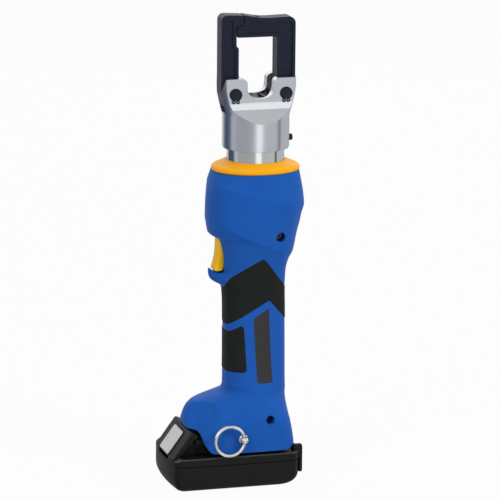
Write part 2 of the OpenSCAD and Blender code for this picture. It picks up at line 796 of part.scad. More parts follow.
module bosses() {
    for (i = [0 : last_screw]) {
        c = screw_at(i);
        y_rod(c[0], c[1], boss_r, -c[2], c[2]);
    }
}
module drive_space() {
    rod(0, 0, motor_r + running_fit, motor_z - end_cap_h - overrun, motor_top + overrun);
    rod(0, 0, motor_r + running_fit, motor_top, case_top);
    rod(0, 0, pump_r + running_fit, case_top - overrun, pump_top + overrun);
    rod(0, 0, neck_r + running_fit, cylinder_z - overrun, trim_top);
    rod(switch_lead_x, 0, lead_d / 2 + slip, board_z - overrun, switch_z);
}
module skirt_cut() {
    across(battery_w + half_d)
        polygon([
            [skirt_front_x - half_w, foot_z - overrun], [skirt_front_x - half_w, foot_z + skirt_front_h],
            [skirt_front_x, foot_z + skirt_front_h], [skirt_x, foot_z], [skirt_x, foot_z - overrun]
        ]);
    across(battery_w + half_d)
        polygon([
            [battery_back - 6 * wall, foot_z - overrun], [battery_back - 6 * wall, foot_z],
            [battery_back - 3 * wall, foot_z + skirt_rear_h * 0.7],
            [battery_back - 2 * wall, foot_z + skirt_rear_h], [battery_back + half_w, foot_z + skirt_rear_h],
            [battery_back + half_w, foot_z - overrun]
        ]);
}
module trigger_throat() {
    low = trigger_z - trigger_play - slip - trigger_h * 0.4 * sin(trigger_pull);
    lip = trigger_front - trigger_h * 0.165;
    across(trigger_w + 2 * trigger_play)
        polygon([
            [-body_w, trigger_z + trigger_play], [-body_w, trigger_z + trigger_h + trigger_play],
            [-pump_r, trigger_z + trigger_h + trigger_play], [-pump_r, low], [lip, low],
            [lip, trigger_z + trigger_play]
        ]);
}
module housing_half(s) difference() {
    intersection() {
        union() {
            shell();
            cradles();
            rails();
            bosses();
        }
        box(-2 * body_w, 2 * body_w, min(0, s * body_w), max(0, s * body_w), 0, trim_top);
    }
    drive_space();
    skirt_cut();
    trigger_throat();
    y_rod(trigger_pivot[0], trigger_pivot[1], trigger_pin_d / 2 + running_fit,
        -trigger_w * 0.76, trigger_w * 0.76);
    for (i = [0 : last_screw]) {
        c = screw_at(i);
        y_rod(c[0], c[1], screw_d / 2 + running_fit, -body_d, c[2] - 2 * wall);
        y_rod(c[0], c[1], screw_hole_d / 2, -body_d, screw_seat);
    }
    for (i = [-1, 1])
        mid_slot(i);
    rod(lead_x, lead_y, lead_d, ceiling_z - overrun, ceiling_z + ceiling_t + overrun);
    rod(lead_x, -lead_y, lead_d, ceiling_z - overrun, ceiling_z + ceiling_t + overrun);
    y_rod(stud_x, stud_z, stud_d / 2 + running_fit, ring_y, ring_y + battery_w / 2);
}
module mid_slot(i) {
    box(blade_x - slip, blade_x + blade_l + slip, i * blade_y - blade_t, i * blade_y + blade_t,
        ceiling_z - overrun, ceiling_z + ceiling_t + overrun);
}
screw_seat = -half_d * 0.62;
module left_housing() color([0.13, 0.36, 0.72]) housing_half(-1);
module right_housing() color([0.13, 0.36, 0.72]) housing_half(1);
module housing_screws() color("black")
    for (i = [0 : last_screw]) {
        c = screw_at(i);
        difference() {
            union() {
                y_rod(c[0], c[1], screw_head_d / 2, screw_seat - screw_d * 0.7, screw_seat);
                y_rod(c[0], c[1], screw_d / 2, screw_seat - screw_d / 4, c[2] - 3 * wall);
            }
            translate([c[0], screw_seat - screw_d * 0.7, c[1]]) rotate([90, 0, 0])
                cylinder(h = screw_d * 0.8, r = screw_d * 0.35, $fn = 6, center = true);
        }
    }
module trim_ring() color([0.96, 0.68, 0.05]) difference() {
    base = body_shares[len(body_shares) - 1];
    skinned([
        for (t = trim_shares)
            section(
                body_top + t[0] * trim_h, neck_r + t[1] * (base[1] * half_w + rubber_t - neck_r),
                neck_r + t[1] * (base[2] * half_w + rubber_t - neck_r),
                neck_r + t[1] * (base[3] * half_d + rubber_t - neck_r), base[4]
            )
    ]);
    rod(0, 0, neck_r + running_fit, body_top - overrun, trim_top + overrun);
}

// Rubber inlays and the label: thin skins on the housing inside an outline
skin_low_share = 0.2;
skin_high_share = 0.75;
skin_seat = 0.05;
module side_outline(shares, s) {
    translate([0, s * body_w / 2, 0])
        across(body_w) polygon([for (p = shares) [p[0] * half_w, foot_z + p[1] * body_h]]);
}
module skin(shares, t, s) difference() {
    intersection() {
        body_loft(t, skin_low_share, skin_high_share);
        side_outline(shares, s);
    }
    body_loft(skin_seat, skin_low_share, skin_high_share);
}
module grip_band_left() color([0.1, 0.1, 0.1]) skin(band_shares, rubber_t, -1);
module grip_band_right() color([0.1, 0.1, 0.1]) skin(band_shares, rubber_t, 1);
module grip_pad_left() color([0.1, 0.1, 0.1]) skin(pad_shares, rubber_t, -1);
module grip_pad_right() color([0.1, 0.1, 0.1]) skin(pad_shares, rubber_t, 1);
module label() color([0.2, 0.2, 0.21]) skin(label_shares, label_t, -1);

// Trigger, its pin and spring, and the switch behind it
module trigger() color([0.97, 0.72, 0.08]) difference() {
    union() {
        across(trigger_w)
            polygon([
                for (p = trigger_shares) [trigger_front + p[0] * trigger_h, trigger_z + p[1] * trigger_h]
            ]);
        y_rod(trigger_pivot[0], trigger_pivot[1], trigger_pin_d / 2 + trigger_eye,
            -trigger_w / 2, trigger_w / 2);
    }
    y_rod(trigger_pivot[0], trigger_pivot[1], trigger_pin_d / 2 + running_fit, -trigger_w, trigger_w);
    y_rod(trigger_pivot[0], trigger_pivot[1], trigger_coil_r + trigger_wire / 2 + slip,
        -trigger_coil_l / 2 - slip, trigger_coil_l / 2 + slip);
}
module trigger_pin() color("silver")
    y_rod(trigger_pivot[0], trigger_pivot[1], trigger_pin_d / 2, -trigger_w * 0.74, trigger_w * 0.74);
trigger_back = trigger_front + 0.245 * trigger_h;
trigger_coil_r = trigger_pin_d / 2 + slip + trigger_wire / 2;
module trigger_spring() color("gray")
    translate([trigger_pivot[0], -trigger_coil_l / 2, trigger_pivot[1]]) rotate([-90, 0, 0])
        coil(trigger_coil_r, trigger_wire, trigger_coil_l, trigger_turns);
module switch_body() color([0.15, 0.15, 0.16]) difference() {
    mid_box(switch_front, switch_back, switch_w / 2, switch_z, switch_z + switch_h);
    x_rod(0, key_z, key_d / 2 + running_fit, switch_front - overrun, switch_front + switch_depth / 2);
}
module switch_plunger() color("white")
    x_rod(0, key_z, key_d / 2, trigger_back + 2 * slip, switch_front + switch_depth / 4);

// Control board and leads
module control_board() color([0.05, 0.35, 0.18])
    mid_box(-board_l / 2, board_l / 2, board_w / 2, board_z, board_z + board_t);
module motor_leads() color("firebrick")
    for (s = [-1, 1]) rod(0, s * motor_lead_y, lead_d / 2, board_z + board_t, motor_z - end_cap_h);
module supply_leads() color("firebrick")
    for (s = [-1, 1]) rod(lead_x, s * lead_y, lead_d / 2, ceiling_z + ceiling_t + block_h, board_z);
module switch_lead() color("gray") rod(switch_lead_x, 0, lead_d / 2, board_z + board_t, switch_z);
module terminal_block() color([0.12, 0.12, 0.12]) difference() {
    mid_box(block_x, block_x + block_l, block_w / 2, ceiling_z + ceiling_t, ceiling_z + ceiling_t + block_h);
    for (i = [-1, 1])
        box(blade_x - slip / 3, blade_x + blade_l + slip / 3, i * blade_y - blade_t / 2 - slip / 3,
            i * blade_y + blade_t / 2 + slip / 3, ceiling_z, ceiling_z + ceiling_t + block_h / 2);
}
module terminal_blades() color([0.8, 0.65, 0.3])
    for (i = [-1, 1])
        box(blade_x, blade_x + blade_l, i * blade_y - blade_t / 2, i * blade_y + blade_t / 2,
            deck_top - blade_drop, ceiling_z + ceiling_t + block_h / 2 - slip / 3);

// Gears: straight-sided teeth on a pitch circle, thinned by the backlash
function tooth(n, r, out, in, play, k) =
    let (
        a = 360 * k / n,
        half = 90 / n - play / (4 * r) * 180 / PI,
        tip = half * tip_share,
        foot = half * root_share
    )
    [for (q = [[r - in, -foot], [r, -half], [r + out, -tip], [r + out, tip], [r, half], [r - in, foot]])
        [q[0] * cos(a + q[1]), q[0] * sin(a + q[1])]];
module gear_outline(n, r, out, in, play) {
    polygon([for (k = [0 : n - 1]) each tooth(n, r, out, in, play, k)]);
}
module planet_gear(i) {
    a = 120 * i;
    translate([orbit_r * cos(a), orbit_r * sin(a), gear_z + slip]) difference() {
        linear_extrude(gear_l - 2 * slip, convexity = 4)
            rotate(180 / sun_teeth) gear_outline(sun_teeth, sun_r, addendum, dedendum, backlash);
        translate([0, 0, -overrun]) cylinder(h = gear_l + 2 * overrun, r = carrier_pin_d / 2 + running_fit);
    }
}
module planet_gear_1() color("silver") planet_gear(0);
module planet_gear_2() color("silver") planet_gear(1);
module planet_gear_3() color("silver") planet_gear(2);
module sun_gear() color("gray") difference() {
    translate([0, 0, gear_z]) linear_extrude(gear_l, convexity = 4)
        gear_outline(sun_teeth, sun_r, addendum, dedendum, backlash);
    rod(0, 0, shaft_d / 2 + running_fit, gear_z - overrun, gear_z + gear_l + overrun);
}
// The ring gear's spaces are the outline of a gear that is fatter by the play
module gear_case() color([0.55, 0.56, 0.58]) difference() {
    rod(0, 0, motor_r, motor_top, case_top);
    translate([0, 0, motor_top - overrun]) linear_extrude(carrier_z - motor_top + 2 * overrun, convexity = 4)
        rotate(180 / ring_teeth) gear_outline(ring_teeth, ring_r, dedendum, addendum, -backlash);
    rod(0, 0, ring_r + dedendum + slip, gear_z + gear_l, bearing_z);
    rod(0, 0, bearing_d / 2, bearing_z - overrun, bearing_z + bearing_h);
    rod(0, 0, drive_shaft_d / 2 + slip, bearing_z, case_top + overrun);
}
module planet_carrier() color([0.5, 0.5, 0.53]) {
    rod(0, 0, orbit_r + carrier_pin_d, carrier_z, carrier_z + carrier_h);
    for (i = [0 : 2])
        rod(orbit_r * cos(120 * i), orbit_r * sin(120 * i), carrier_pin_d / 2, gear_z, carrier_z + slip);
    rod(0, 0, drive_shaft_d / 2, carrier_z + carrier_h / 2, shaft_top);
    rod(throw, 0, cam_d / 2, cam_z, cam_z + cam_h);
}
module cam_ring() color("silver") difference() {
    rod(throw, 0, cam_d / 2 + cam_wall, cam_z + slip, cam_z + cam_h - slip);
    rod(throw, 0, cam_d / 2 + running_fit, cam_z, cam_z + cam_h);
}
module shaft_bearing() color("silver") difference() {
    rod(0, 0, bearing_d / 2 - running_fit, bearing_z, bearing_z + bearing_h - running_fit);
    rod(0, 0, drive_shaft_d / 2 + running_fit, bearing_z - overrun, bearing_z + bearing_h);
}

// Motor
module motor_can() color([0.6, 0.6, 0.62]) difference() {
    rod(0, 0, motor_r, motor_z, motor_top);
    rod(0, 0, motor_r - can_wall, motor_z - overrun, motor_top - can_wall);
    rod(0, 0, shaft_d / 2 + running_fit, motor_z, motor_top + overrun);
}
module motor_rotor() color([0.5, 0.4, 0.25]) {
    rod(0, 0, shaft_d / 2, motor_z - end_cap_h + can_wall, gear_z + gear_l);
    rod(0, 0, motor_r * 0.66, motor_z + 2 * can_wall + shaft_d, motor_top - 3 * can_wall);
    rod(0, 0, motor_r * 0.3, motor_z + can_wall, motor_z + 3 * can_wall + shaft_d);
}
module motor_end_cap() color([0.2, 0.2, 0.22]) difference() {
    rod(0, 0, motor_r, motor_z - end_cap_h, motor_z);
    rod(0, 0, shaft_d / 2 + running_fit, motor_z - end_cap_h + can_wall / 2, motor_z + overrun);
}

// Pump: block, plunger, valves and oil reservoir
module pump_block() color([0.5, 0.52, 0.55]) difference() {
    union() {
        rod(0, 0, pump_r, case_top, pump_top);
        rod(0, 0, pump_neck_d / 2, pump_top - overrun, cylinder_z);
    }
    rod(0, 0, chamber_r, case_top - overrun, case_top + chamber_h);
    rod(0, 0, drive_shaft_d / 2 + running_fit, case_top, shaft_top + slip);
    rod(0, 0, oil_port_d / 2, case_top, cylinder_z + overrun);
    x_rod(0, plunger_z, plunger_d / 2 + running_fit, 0, pump_r + overrun);
    y_rod(0, valve_z, valve_d / 2 + running_fit, pump_r - valve_depth, pump_r + overrun);
    y_rod(0, valve_z, valve_d / 2 + running_fit, -pump_r - overrun, valve_depth - pump_r);
}
module pump_plunger() color("silver")
    x_rod(0, plunger_z, plunger_d / 2, plunger_in, pump_r - slip);
module valve(s) {
    y0 = pump_r - valve_depth + slip;
    mirror([0, s < 0 ? 1 : 0, 0]) {
        y_rod(0, valve_z, valve_d / 2, y0, pump_r + slip);
        translate([0, pump_r + slip / 2, valve_z]) rotate([-90, 0, 0])
            cylinder(h = valve_out, r = valve_head_d / 2, $fn = 6);
    }
}
module relief_valve() color([0.75, 0.6, 0.3]) valve(1);
module return_valve() color([0.75, 0.6, 0.3]) valve(-1);
module oil_reservoir() color([0.13, 0.13, 0.13]) difference() {
    x0 = pump_r * 0.7;
    mid_box(x0, pump_r + reservoir_t, reservoir_w / 2, pump_top - reservoir_h, pump_top);
    rod(0, 0, pump_r + slip / 3, pump_top - reservoir_h - overrun, pump_top + overrun);
}

// Battery
function tray_ring(inset, z) = plan(front_x, battery_back, battery_w / 2, battery_corner, inset, z);
function lid_screws() = [
    for (s = [-1, 1])
        for (x = [front_x + case_screw_x, battery_back - case_screw_x])
            [x, s * case_screw_y]
];
module battery_tray() color([0.08, 0.08, 0.08]) difference() {
    skinned(concat(
        [for (e = tray_edge_shares) tray_ring(e[0] * tray_edge, e[1] * tray_edge)], [tray_ring(0, tray_h)]
    ));
    skinned([
        tray_ring(tray_edge * 0.2 + case_wall, case_wall), tray_ring(case_wall, tray_edge),
        tray_ring(case_wall, tray_h + overrun)
    ]);
}
module battery_bosses() color([0.08, 0.08, 0.08])
    for (p = lid_screws()) rod(p[0], p[1], case_screw_d, case_wall * 0.6, tray_h - slip / 3);
module battery_tray_node() difference() {
    union() {
        battery_tray();
        battery_bosses();
    }
    for (p = lid_screws()) {
        rod(p[0], p[1], case_screw_d / 2 + running_fit, -overrun, tray_h + overrun);
        rod(p[0], p[1], case_screw_head_d / 2 + slip, -overrun, case_wall);
    }
}
module battery_screws() color("silver")
    for (p = lid_screws()) {
        rod(p[0], p[1], case_screw_head_d / 2, case_wall * 0.4, case_wall);
        rod(p[0], p[1], case_screw_d / 2, case_wall * 0.7, case_wall + case_screw_l);
    }
module battery_cells() color([0.2, 0.5, 0.75])
    for (i = [0 : cell_count - 1])
        y_rod(mid_x + (i - (cell_count - 1) / 2) * cell_pitch, case_wall + slip + cell_d / 2, cell_d / 2,
            -cell_l / 2, cell_l / 2);
module on_slope() {
    translate([slope_top[0], 0, battery_h + slope_top[1]]) rotate([0, slope_a, 0]) children();
}
module lid_block() {
    translate([0, 0, battery_h])
        across(2 * block_y)
            polygon([
                [deck_front, -case_wall * 0.7], [deck_front, block_top], [skirt_front_x, block_nose],
                slope_top, slope_low, [slope_low[0], -case_wall * 0.7]
            ]);
}
module battery_lid() color([0.08, 0.08, 0.08]) difference() {
    union() {
        difference() {
            skinned([
                tray_ring(0, tray_h), tray_ring(0, battery_h - case_wall / 2),
                tray_ring(case_wall / 2, battery_h)
            ]);
            skinned([
                tray_ring(case_wall, tray_h - overrun), tray_ring(case_wall, battery_h - case_wall)
            ]);
        }
        mid_box(deck_front - overrun, deck_back, deck_y, battery_h - case_wall * 0.7, deck_top);
        mid_box(deck_front - overrun, deck_back, flange_y, deck_top - flange_t, deck_top);
        lid_block();
        mid_box(battery_back - lip_t, battery_back - case_wall / 2, lip_y, battery_h - case_wall * 0.7,
            battery_h + lip_h);
        for (p = lid_screws()) rod(p[0], p[1], case_screw_d, tray_h, battery_h - case_wall * 0.8);
    }
    mid_box(deck_front + case_wall, deck_back - case_wall, deck_y - case_wall, tray_h, deck_top - case_wall);
    for (i = [-1, 1])
        box(blade_x - slip, deck_back + overrun, i * blade_y - blade_t, i * blade_y + blade_t,
            deck_top - blade_drop - slip, deck_top + overrun);
    for (p = lid_screws())
        rod(p[0], p[1], case_screw_d / 2 + running_fit, tray_h - overrun, case_wall + case_screw_l + slip);
    on_slope()
        mid_box(button_start - slip, button_start + button_l + button_travel * sin(slope_a) + slip,
            button_w / 2 + slip, -overrun - button_t,
            button_t - button_proud - button_travel * cos(slope_a) + slip);
    rod(peg_x, 0, peg_d / 2 + slip, peg_z - button_coil_l - slip, peg_z + peg_l);
}
module release_button() color([0.12, 0.12, 0.12]) {
    on_slope()
        mid_box(button_start, button_start + button_l, button_w / 2, -button_proud, button_t - button_proud);
    rod(peg_x, 0, peg_d / 2, peg_z, peg_z + peg_l);
}
module button_plate() color([0.72, 0.72, 0.72]) on_slope()
    mid_box(button_start + plate_rim, button_start + button_l - plate_rim, button_w / 2 - plate_rim,
        -button_proud - plate_t, -button_proud);
module button_spring() color("gray")
    translate([peg_x, 0, peg_z - button_coil_l])
        coil(peg_d / 2 - button_wire, button_wire, button_coil_l - slip / 3, button_turns);
module battery_contacts() color([0.8, 0.65, 0.3])
    for (i = [-1, 1]) {
        y = i * blade_y;
        high = deck_top - case_wall - slip / 3;
        low = high - contact_h;
        for (s = [-1, 1])
            translate([0, y + s * (contact_gap + contact_t / 2), 0])
                mid_box(blade_x, blade_x + blade_l, contact_t / 2, low, high);
        box(blade_x, blade_x + blade_l, y - contact_gap - contact_t, y + contact_gap + contact_t,
            low - contact_t, low);
    }

// Lanyard ring: a wire ring through the ball of a stud that turns in the left housing
module ring_stud() color("silver") difference() {
    union() {
        translate([stud_x, ring_y, stud_z]) sphere(d = stud_ball_d);
        y_rod(stud_x, stud_z, stud_d / 2, ring_y, -stud_side + wall + 2 * slip + stud_flange_t);
        y_rod(stud_x, stud_z, stud_flange_d / 2, -stud_side - slip - stud_flange_t, -stud_side - slip);
        y_rod(stud_x, stud_z, stud_flange_d * 0.35, -stud_side + wall + slip,
            -stud_side + wall + slip + stud_flange_t);
    }
    rod(stud_x, ring_y, ring_wire / 2 + 2 * slip, stud_z - stud_ball_d, stud_z + stud_ball_d);
}
module lanyard_ring() color([0.8, 0.8, 0.82])
    translate([stud_x - ring_d / 2, ring_y, stud_z]) rotate([90, 0, 0])
        rotate_extrude() translate([ring_d / 2, 0]) circle(d = ring_wire);

yoke();
top_arm();
latch_arm();
hinge_pin();
latch_pin();
pin_circlips();
latch_spring();
ram();
piston_seal();
return_spring();
cylinder_node();  // cylinder
swivel_ring();
swivel_plug();
trim_ring();
left_housing();
right_housing();
housing_screws();
grip_band_left();
grip_band_right();
grip_pad_left();
grip_pad_right();
label();
trigger();
trigger_pin();
trigger_spring();
switch_body();
switch_plunger();
control_board();
motor_leads();
supply_leads();
switch_lead();
terminal_block();
terminal_blades();
pump_block();
pump_plunger();
relief_valve();
return_valve();
oil_reservoir();
gear_case();
planet_carrier();
planet_gear_1();
planet_gear_2();
planet_gear_3();
sun_gear();
cam_ring();
shaft_bearing();
motor_can();
motor_rotor();
motor_end_cap();
battery_tray_node();  // battery_tray
battery_lid();
battery_cells();
battery_contacts();
battery_screws();
release_button();
button_plate();
button_spring();
ring_stud();
lanyard_ring();
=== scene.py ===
import json
import math

import bmesh
import bpy
from mathutils import Matrix, Vector


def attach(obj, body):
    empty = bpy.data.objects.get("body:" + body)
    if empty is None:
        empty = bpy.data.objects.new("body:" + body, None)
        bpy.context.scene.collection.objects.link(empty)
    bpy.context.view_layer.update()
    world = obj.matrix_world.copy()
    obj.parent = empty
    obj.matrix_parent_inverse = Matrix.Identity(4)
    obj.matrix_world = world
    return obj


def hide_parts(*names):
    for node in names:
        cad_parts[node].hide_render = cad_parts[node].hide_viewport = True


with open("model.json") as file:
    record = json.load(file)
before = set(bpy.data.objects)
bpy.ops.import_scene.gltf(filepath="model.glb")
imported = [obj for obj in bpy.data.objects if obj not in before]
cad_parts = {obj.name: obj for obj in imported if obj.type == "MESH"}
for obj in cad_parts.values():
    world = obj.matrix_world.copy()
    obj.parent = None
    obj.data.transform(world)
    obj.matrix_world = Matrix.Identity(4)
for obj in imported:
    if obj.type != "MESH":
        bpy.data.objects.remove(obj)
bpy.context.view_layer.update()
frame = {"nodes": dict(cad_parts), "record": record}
mm = 0.001
scene = bpy.context.scene


# small maths
def clamp(value, low=0.0, high=1.0):
    return max(low, min(high, value))


def mix(a, b, t):
    return a + (b - a) * t


def ease(t):
    t = clamp(t)
    return t * t * (3 - 2 * t)


def curveThrough(points):  # smooth curve through the points that never overshoots
    xs = [p[0] for p in points]
    ys = [p[1] for p in points]
    gaps = [b - a for a, b in zip(xs, xs[1:])]
    slopes = [(b - a) / g for a, b, g in zip(ys, ys[1:], gaps)]
    tangents = [slopes[0]]
    for before, after in zip(slopes, slopes[1:]):
        tangents.append(0.0 if before * after <= 0 else 2 * before * after / (before + after))
    tangents.append(slopes[-1])

    def at(x):
        if x <= xs[0]:
            return ys[0]
        if x >= xs[-1]:
            return ys[-1]
        i = 0
        while xs[i + 1] < x:
            i += 1
        t = (x - xs[i]) / gaps[i]
        rise = gaps[i] * (t * (1 - t) ** 2 * tangents[i] - t * t * (1 - t) * tangents[i + 1])
        return mix(ys[i], ys[i + 1], t * t * (3 - 2 * t)) + rise

    return at


def lengthsAlong(points):  # way along the points up to each of them
    lengths = [0.0]
    for a, b in zip(points, points[1:]):
        lengths.append(lengths[-1] + math.hypot(b[0] - a[0], b[1] - a[1]))
    return lengths


def pointsAlong(points, shares):  # what lies on the line through the points at shares of its length
    lengths = lengthsAlong(points)
    found, i = [], 0
    for share in shares:
        want = share * lengths[-1]
        while i < len(points) - 2 and lengths[i + 1] < want:
            i += 1
        t = clamp((want - lengths[i]) / max(lengths[i + 1] - lengths[i], 1e-9))
        found.append(tuple(mix(a, b, t) for a, b in zip(points[i], points[i + 1])))
    return found


# mesh helpers, sizes in millimetres
def gridSkin(across, along, place):  # a grid bent over a surface, place(u, v) in 0..1
    bm = bmesh.new()
    bmesh.ops.create_grid(bm, x_segments=across, y_segments=along, size=0.5)
    for vert in bm.verts:
        vert.co = Vector(place(clamp(vert.co.x + 0.5), clamp(vert.co.y + 0.5))) * mm
    return bm


def loft(loops, shut=False):  # a skin over closed loops of points; shut joins the last loop to the first
    around = len(loops[0])
    count = len(loops) if shut else len(loops) - 1

    def place(u, v):
        return loops[round(v * count) % len(loops)][round(u * around) % around]

    bm = gridSkin(around, count, place)
    bmesh.ops.remove_doubles(bm, verts=bm.verts, dist=1e-7)
    return bm


def closeEnds(bm):
    openEdges = [e for e in bm.edges if e.is_boundary]
    bmesh.ops.holes_fill(bm, edges=openEdges, sides=0)


def prism(corners, axis, low, high, steps=8):  # corners are (a, b) or (a, b, radius)
    bm = bmesh.new()
    placed = []
    for corner in corners:
        a, b = corner[0] * mm, corner[1] * mm
        flat = {"X": (0, a, b), "Y": (a, 0, b), "Z": (a, b, 0)}[axis]
        placed.append((bm.verts.new(flat), corner[2] * mm if len(corner) > 2 else 0))
    bm.faces.new([v for v, r in placed])
    for vert, radius in placed:
        if radius:
            bmesh.ops.bevel(
                bm, geom=[vert], offset=radius, offset_type="OFFSET", segments=steps, profile=0.5,
                affect="VERTICES", material=-1,
            )
    way = Vector({"X": (1, 0, 0), "Y": (0, 1, 0), "Z": (0, 0, 1)}[axis])
    bmesh.ops.translate(bm, verts=bm.verts, vec=way * low * mm)
    grown = bmesh.ops.extrude_face_region(bm, geom=bm.faces[:])
    top = [g for g in grown["geom"] if isinstance(g, bmesh.types.BMVert)]
    bmesh.ops.translate(bm, verts=top, vec=way * (high - low) * mm)
    bmesh.ops.recalc_face_normals(bm, faces=bm.faces)
    return bm


def block(x0, x1, y0, y1, z0, z1):
    return prism([(x0, y0), (x1, y0), (x1, y1), (x0, y1)], "Z", z0, z1)


def turned(profile, centre=(0, 0, 0), axis=(0, 0, 1), steps=96):  # profile of (radius, height)
    bm = bmesh.new()
    verts = [bm.verts.new((r * mm, 0, h * mm)) for r, h in profile]
    edges = [bm.edges.new(pair) for pair in zip(verts, verts[1:])]
    bmesh.ops.spin(
        bm, geom=verts + edges, cent=(0, 0, 0), axis=(0, 0, 1), dvec=(0, 0, 0), angle=2 * math.pi,
        steps=steps, use_merge=True, use_normal_flip=False, use_duplicate=False,
    )
    bmesh.ops.remove_doubles(bm, verts=bm.verts, dist=1e-7)
    bmesh.ops.recalc_face_normals(bm, faces=bm.faces)
    lay = Vector((0, 0, 1)).rotation_difference(Vector(axis)).to_matrix().to_4x4()
    bmesh.ops.transform(bm, matrix=Matrix.Translation(Vector(centre) * mm) @ lay, verts=bm.verts)
    return bm


def rod(radius, low, high, centre=(0, 0, 0), axis=(0, 0, 1), steps=48):
    return turned([(0, low), (radius, low), (radius, high), (0, high)], centre, axis, steps)


def joined(*parts):  # puts several shapes into the first
    for part in parts[1:]:
        spare = bpy.data.meshes.new("spare")
        part.to_mesh(spare)
        part.free()
        parts[0].from_mesh(spare)
        bpy.data.meshes.remove(spare)
    return parts[0]


def carve(bm, cutter, operation="DIFFERENCE"):  # cuts, joins or keeps what two shapes share
    pair = []
    for name, shape in (("carved", bm), ("cutter", cutter)):
        bmesh.ops.recalc_face_normals(shape, faces=shape.faces)
        mesh = bpy.data.meshes.new(name)
        shape.to_mesh(mesh)
        item = bpy.data.objects.new(name, mesh)
        scene.collection.objects.link(item)
        pair.append(item)
    cut = pair[0].modifiers.new("cut", "BOOLEAN")
    cut.operation = operation
    cut.solver = "EXACT"
    cut.object = pair[1]
    result = bpy.data.meshes.new_from_object(pair[0].evaluated_get(bpy.context.evaluated_depsgraph_get()))
    bm.clear()
    bm.from_mesh(result)
    cutter.free()
    bpy.data.meshes.remove(result)
    for item in pair:
        mesh = item.data
        bpy.data.objects.remove(item)
        bpy.data.meshes.remove(mesh)
    bmesh.ops.remove_doubles(bm, verts=bm.verts, dist=1e-6)


def softenEdges(bm, width, angle=40, steps=3, keep=None):  # rounds the edges sharper than angle
    bmesh.ops.dissolve_limit(
        bm, angle_limit=math.radians(0.4), use_dissolve_boundaries=False, verts=bm.verts, edges=bm.edges,
    )
    bm.normal_update()
    sharp = [
        e for e in bm.edges
        if len(e.link_faces) == 2 and e.calc_face_angle(0) > math.radians(angle) and (keep is None or keep(e))
    ]
    bmesh.ops.bevel(
        bm, geom=sharp, offset=width * mm, offset_type="OFFSET", segments=steps, profile=0.5,
        affect="EDGES", clamp_overlap=True, material=-1,
    )


def mirrorAcross(bm):  # to the other side of the seam
    bmesh.ops.scale(bm, vec=(1, -1, 1), verts=bm.verts)
    bmesh.ops.reverse_faces(bm, faces=bm.faces)


def showPiece(name, bm, finish, body, node):
    mesh = bpy.data.meshes.new(name)
    bm.to_mesh(mesh)
    bm.free()
    mesh.shade_smooth()
    mesh.materials.append(finish)
    piece = bpy.data.objects.new(name, mesh)
    scene.collection.objects.link(piece)
    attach(piece, body)
    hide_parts(node)
    return piece


def addPiece(name, bm, slotName, body, node, smoothAngle=35, even=True, finish=None):
    bmesh.ops.remove_doubles(bm, verts=bm.verts, dist=1e-6)
    bmesh.ops.recalc_face_normals(bm, faces=bm.faces)
    piece = showPiece(name, bm, finish or finishes[slotName], body, node)
    piece.data.set_sharp_from_angle(angle=math.radians(smoothAngle))
    if even:
        steady = piece.modifiers.new("evenNormals", "WEIGHTED_NORMAL")
        steady.keep_sharp = True
        steady.weight = 60
    return piece


# node trees
def addNode(tree, kind, inputs=None, **settings):
    node = tree.nodes.new("ShaderNode" + kind)
    for key, value in settings.items():
        setattr(node, key, value)
    for key, value in (inputs or {}).items():
        node.inputs[key].default_value = value
    return node


def wire(tree, *links):  # each link is a node, its output, the next node and its input
    for source, output, target, socket in links:
        tree.links.new(source.outputs[output], target.inputs[socket])


def tint(red, green, blue):
    parts = [c / 255 for c in (red, green, blue)]
    return tuple([c / 12.92 if c <= 0.04045 else ((c + 0.055) / 1.055) ** 2.4 for c in parts] + [1])


def makeFinish(name, look):
    finish = bpy.data.materials.new(name)
    finish.use_nodes = True
    tree = finish.node_tree
    shader = tree.nodes["Principled BSDF"]
    shader.inputs["Metallic"].default_value = look.get("metal", 0.0)
    shader.inputs["Specular IOR Level"].default_value = look.get("specular", 0.5)
    shader.inputs["Anisotropic"].default_value = look.get("brushed", 0.0)
    strength, grainScale, depth = look["grain"]
    smooth, rough = look["rough"]
    place = addNode(tree, "TexCoord")
    stretch = addNode(tree, "Mapping", {"Scale": look.get("stretch", (1, 1, 1))})
    patches = addNode(tree, "TexNoise", {"Scale": look.get("patchScale", 45), "Detail": 3})
    streaks = addNode(tree, "TexNoise", {"Scale": look.get("roughScale", 900), "Detail": 2})
    grain = addNode(tree, "TexNoise", {"Scale": grainScale, "Detail": 2})
    shade = addNode(tree, "Mix", {"A": tint(*look["colour"]), "B": tint(*look["shade"])}, data_type="RGBA")
    spread = addNode(tree, "MapRange", {"From Min": 0.3, "From Max": 0.7, "To Min": smooth, "To Max": rough})
    bump = addNode(tree, "Bump", {"Strength": strength, "Distance": depth * mm})
    wire(
        tree, (place, "Object", stretch, "Vector"), (place, "Object", patches, "Vector"),
        (stretch, "Vector", streaks, "Vector"), (stretch, "Vector", grain, "Vector"),
        (patches, "Fac", shade, "Factor"), (shade, "Result", shader, "Base Color"),
        (streaks, "Fac", spread, "Value"), (spread, "Result", shader, "Roughness"),
        (grain, "Fac", bump, "Height"), (bump, "Normal", shader, "Normal"),
    )
    return finish


